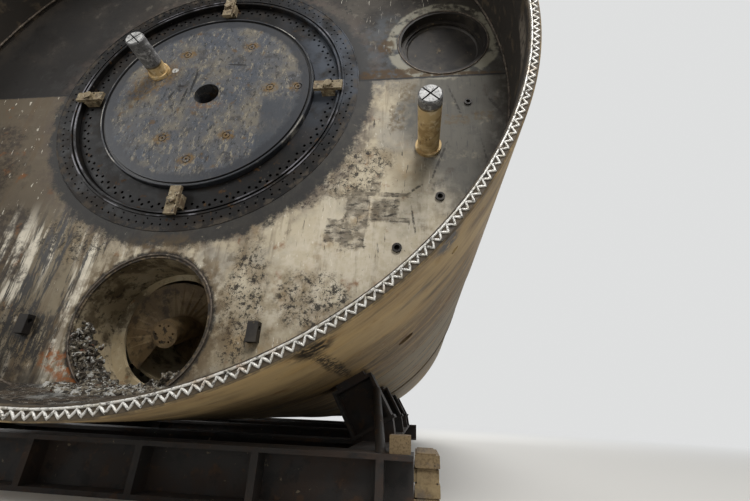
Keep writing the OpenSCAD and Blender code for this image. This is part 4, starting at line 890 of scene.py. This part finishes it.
# Floor, light and camera
studio = {
    "floor": {"colour": "#c6c4bf", "rough": 0.85, "grainMm": 60, "grainDeep": 0.0005},
    "floorHalf": 60.0, "fadeFrom": 8.0, "fadeTo": 22.0,
    "sky": "#dfe3e8", "skyStrength": 0.32, "seen": "#e9eaea", "seenStrength": 0.9,
    "lamps": [
        {"name": "keyLamp", "place": (5.5, -9.5, 10.5), "aim": (0.6, 0.0, -1.2), "size": 6.0, "power": 2500},
        {"name": "fillLamp", "place": (-9.5, -7.0, 3.0), "aim": (0, 1.0, -0.5), "size": 6.0, "power": 350},
        {"name": "rearLamp", "place": (5.0, 19.0, 9.0), "aim": (0, 6.0, 0), "size": 8.0, "power": 2200},
        {"name": "sideLamp", "place": (-13.0, 8.0, 6.0), "aim": (0, 4.0, -1.0), "size": 7.0, "power": 1400},
    ],
    "camera": {"place": (2.310, -2.932, -3.160), "yaw": 6.89, "pitch": 23.26, "roll": -2.684, "lens": 18.147},
}


def backdropRays(tree):  # the rays that see the pale backdrop: straight, mirrored and through glass
    rays = addNode(tree, "ShaderNodeLightPath").outputs
    return anyMask(tree, rays["Is Camera Ray"], rays["Is Glossy Ray"], rays["Is Transmission Ray"])


def makeFloor():
    half, z = studio["floorHalf"], shield["floorZ"]
    mesh = bpy.data.meshes.new("studioFloor")
    mesh.from_pydata([(-half, -half, z), (half, -half, z), (half, half, z), (-half, half, z)], [], [(0, 1, 2, 3)])
    floor = bpy.data.objects.new("studioFloor", mesh)
    bpy.context.collection.objects.link(floor)
    material = makeFinish("paleFloor", studio["floor"])
    mesh.materials.append(material)
    # Far from the machine the floor is seen in the backdrop's colour, so that no horizon shows
    tree = material.node_tree
    ending = next(node for node in tree.nodes if node.type == "OUTPUT_MATERIAL").inputs["Surface"]
    paint = ending.links[0].from_socket
    place = addNode(tree, "ShaderNodeTexCoord").outputs["Object"]
    reach = addNode(tree, "ShaderNodeVectorMath", {"operation": "LENGTH"}, {0: place}).outputs["Value"]
    far = fadeMask(tree, reach, studio["fadeTo"], studio["fadeFrom"])
    backdrop = addNode(tree, "ShaderNodeEmission", {"Color": studio["seen"], "Strength": studio["seenStrength"]})
    mix = addNode(tree, "ShaderNodeMixShader", links={0: bothMasks(tree, far, backdropRays(tree)), 1: paint,
        2: backdrop})
    tree.links.new(mix.outputs[0], ending)


def makeWorld():
    world = bpy.data.worlds.new("studioWorld")
    bpy.context.scene.world = world
    world.use_nodes = True
    tree = world.node_tree
    tree.nodes.clear()
    sky = addNode(tree, "ShaderNodeBackground", {"Color": studio["sky"], "Strength": studio["skyStrength"]})
    back = addNode(tree, "ShaderNodeBackground", {"Color": studio["seen"], "Strength": studio["seenStrength"]})
    mix = addNode(tree, "ShaderNodeMixShader", links={0: backdropRays(tree), 1: sky, 2: back})
    addNode(tree, "ShaderNodeOutputWorld", links={"Surface": mix})


def makeLamp(look):
    lamp = bpy.data.lights.new(look["name"], "AREA")
    lamp.energy = look["power"]
    lamp.size = look["size"]
    holder = bpy.data.objects.new(look["name"], lamp)
    bpy.context.collection.objects.link(holder)
    holder.location = look["place"]
    holder.rotation_euler = (Vector(look["aim"]) - Vector(look["place"])).to_track_quat("-Z", "Y").to_euler()


def makeCamera(look):  # turned by its yaw, pitch and roll from a level look along +Y
    yaw, pitch, roll = (math.radians(look[key]) for key in ("yaw", "pitch", "roll"))
    turn = Matrix.Rotation(yaw, 3, "Z") @ Matrix.Rotation(pitch, 3, "X") @ Matrix.Rotation(roll, 3, "Y")
    right, forward, up = turn.col[0], turn.col[1], turn.col[2]
    camera = bpy.data.objects.new("photoCamera", bpy.data.cameras.new("photoCamera"))
    camera.data.lens = look["lens"]
    camera.data.clip_end = 200
    bpy.context.collection.objects.link(camera)
    camera.matrix_world = Matrix.Translation(look["place"]) @ Matrix((
        (right.x, up.x, -forward.x), (right.y, up.y, -forward.y), (right.z, up.z, -forward.z))).to_4x4()
    bpy.context.scene.camera = camera


makeFloor()
makeWorld()
for lamp in studio["lamps"]:
    makeLamp(lamp)
makeCamera(studio["camera"])
bpy.context.scene.view_settings.view_transform = "Standard"
print("studio ready")
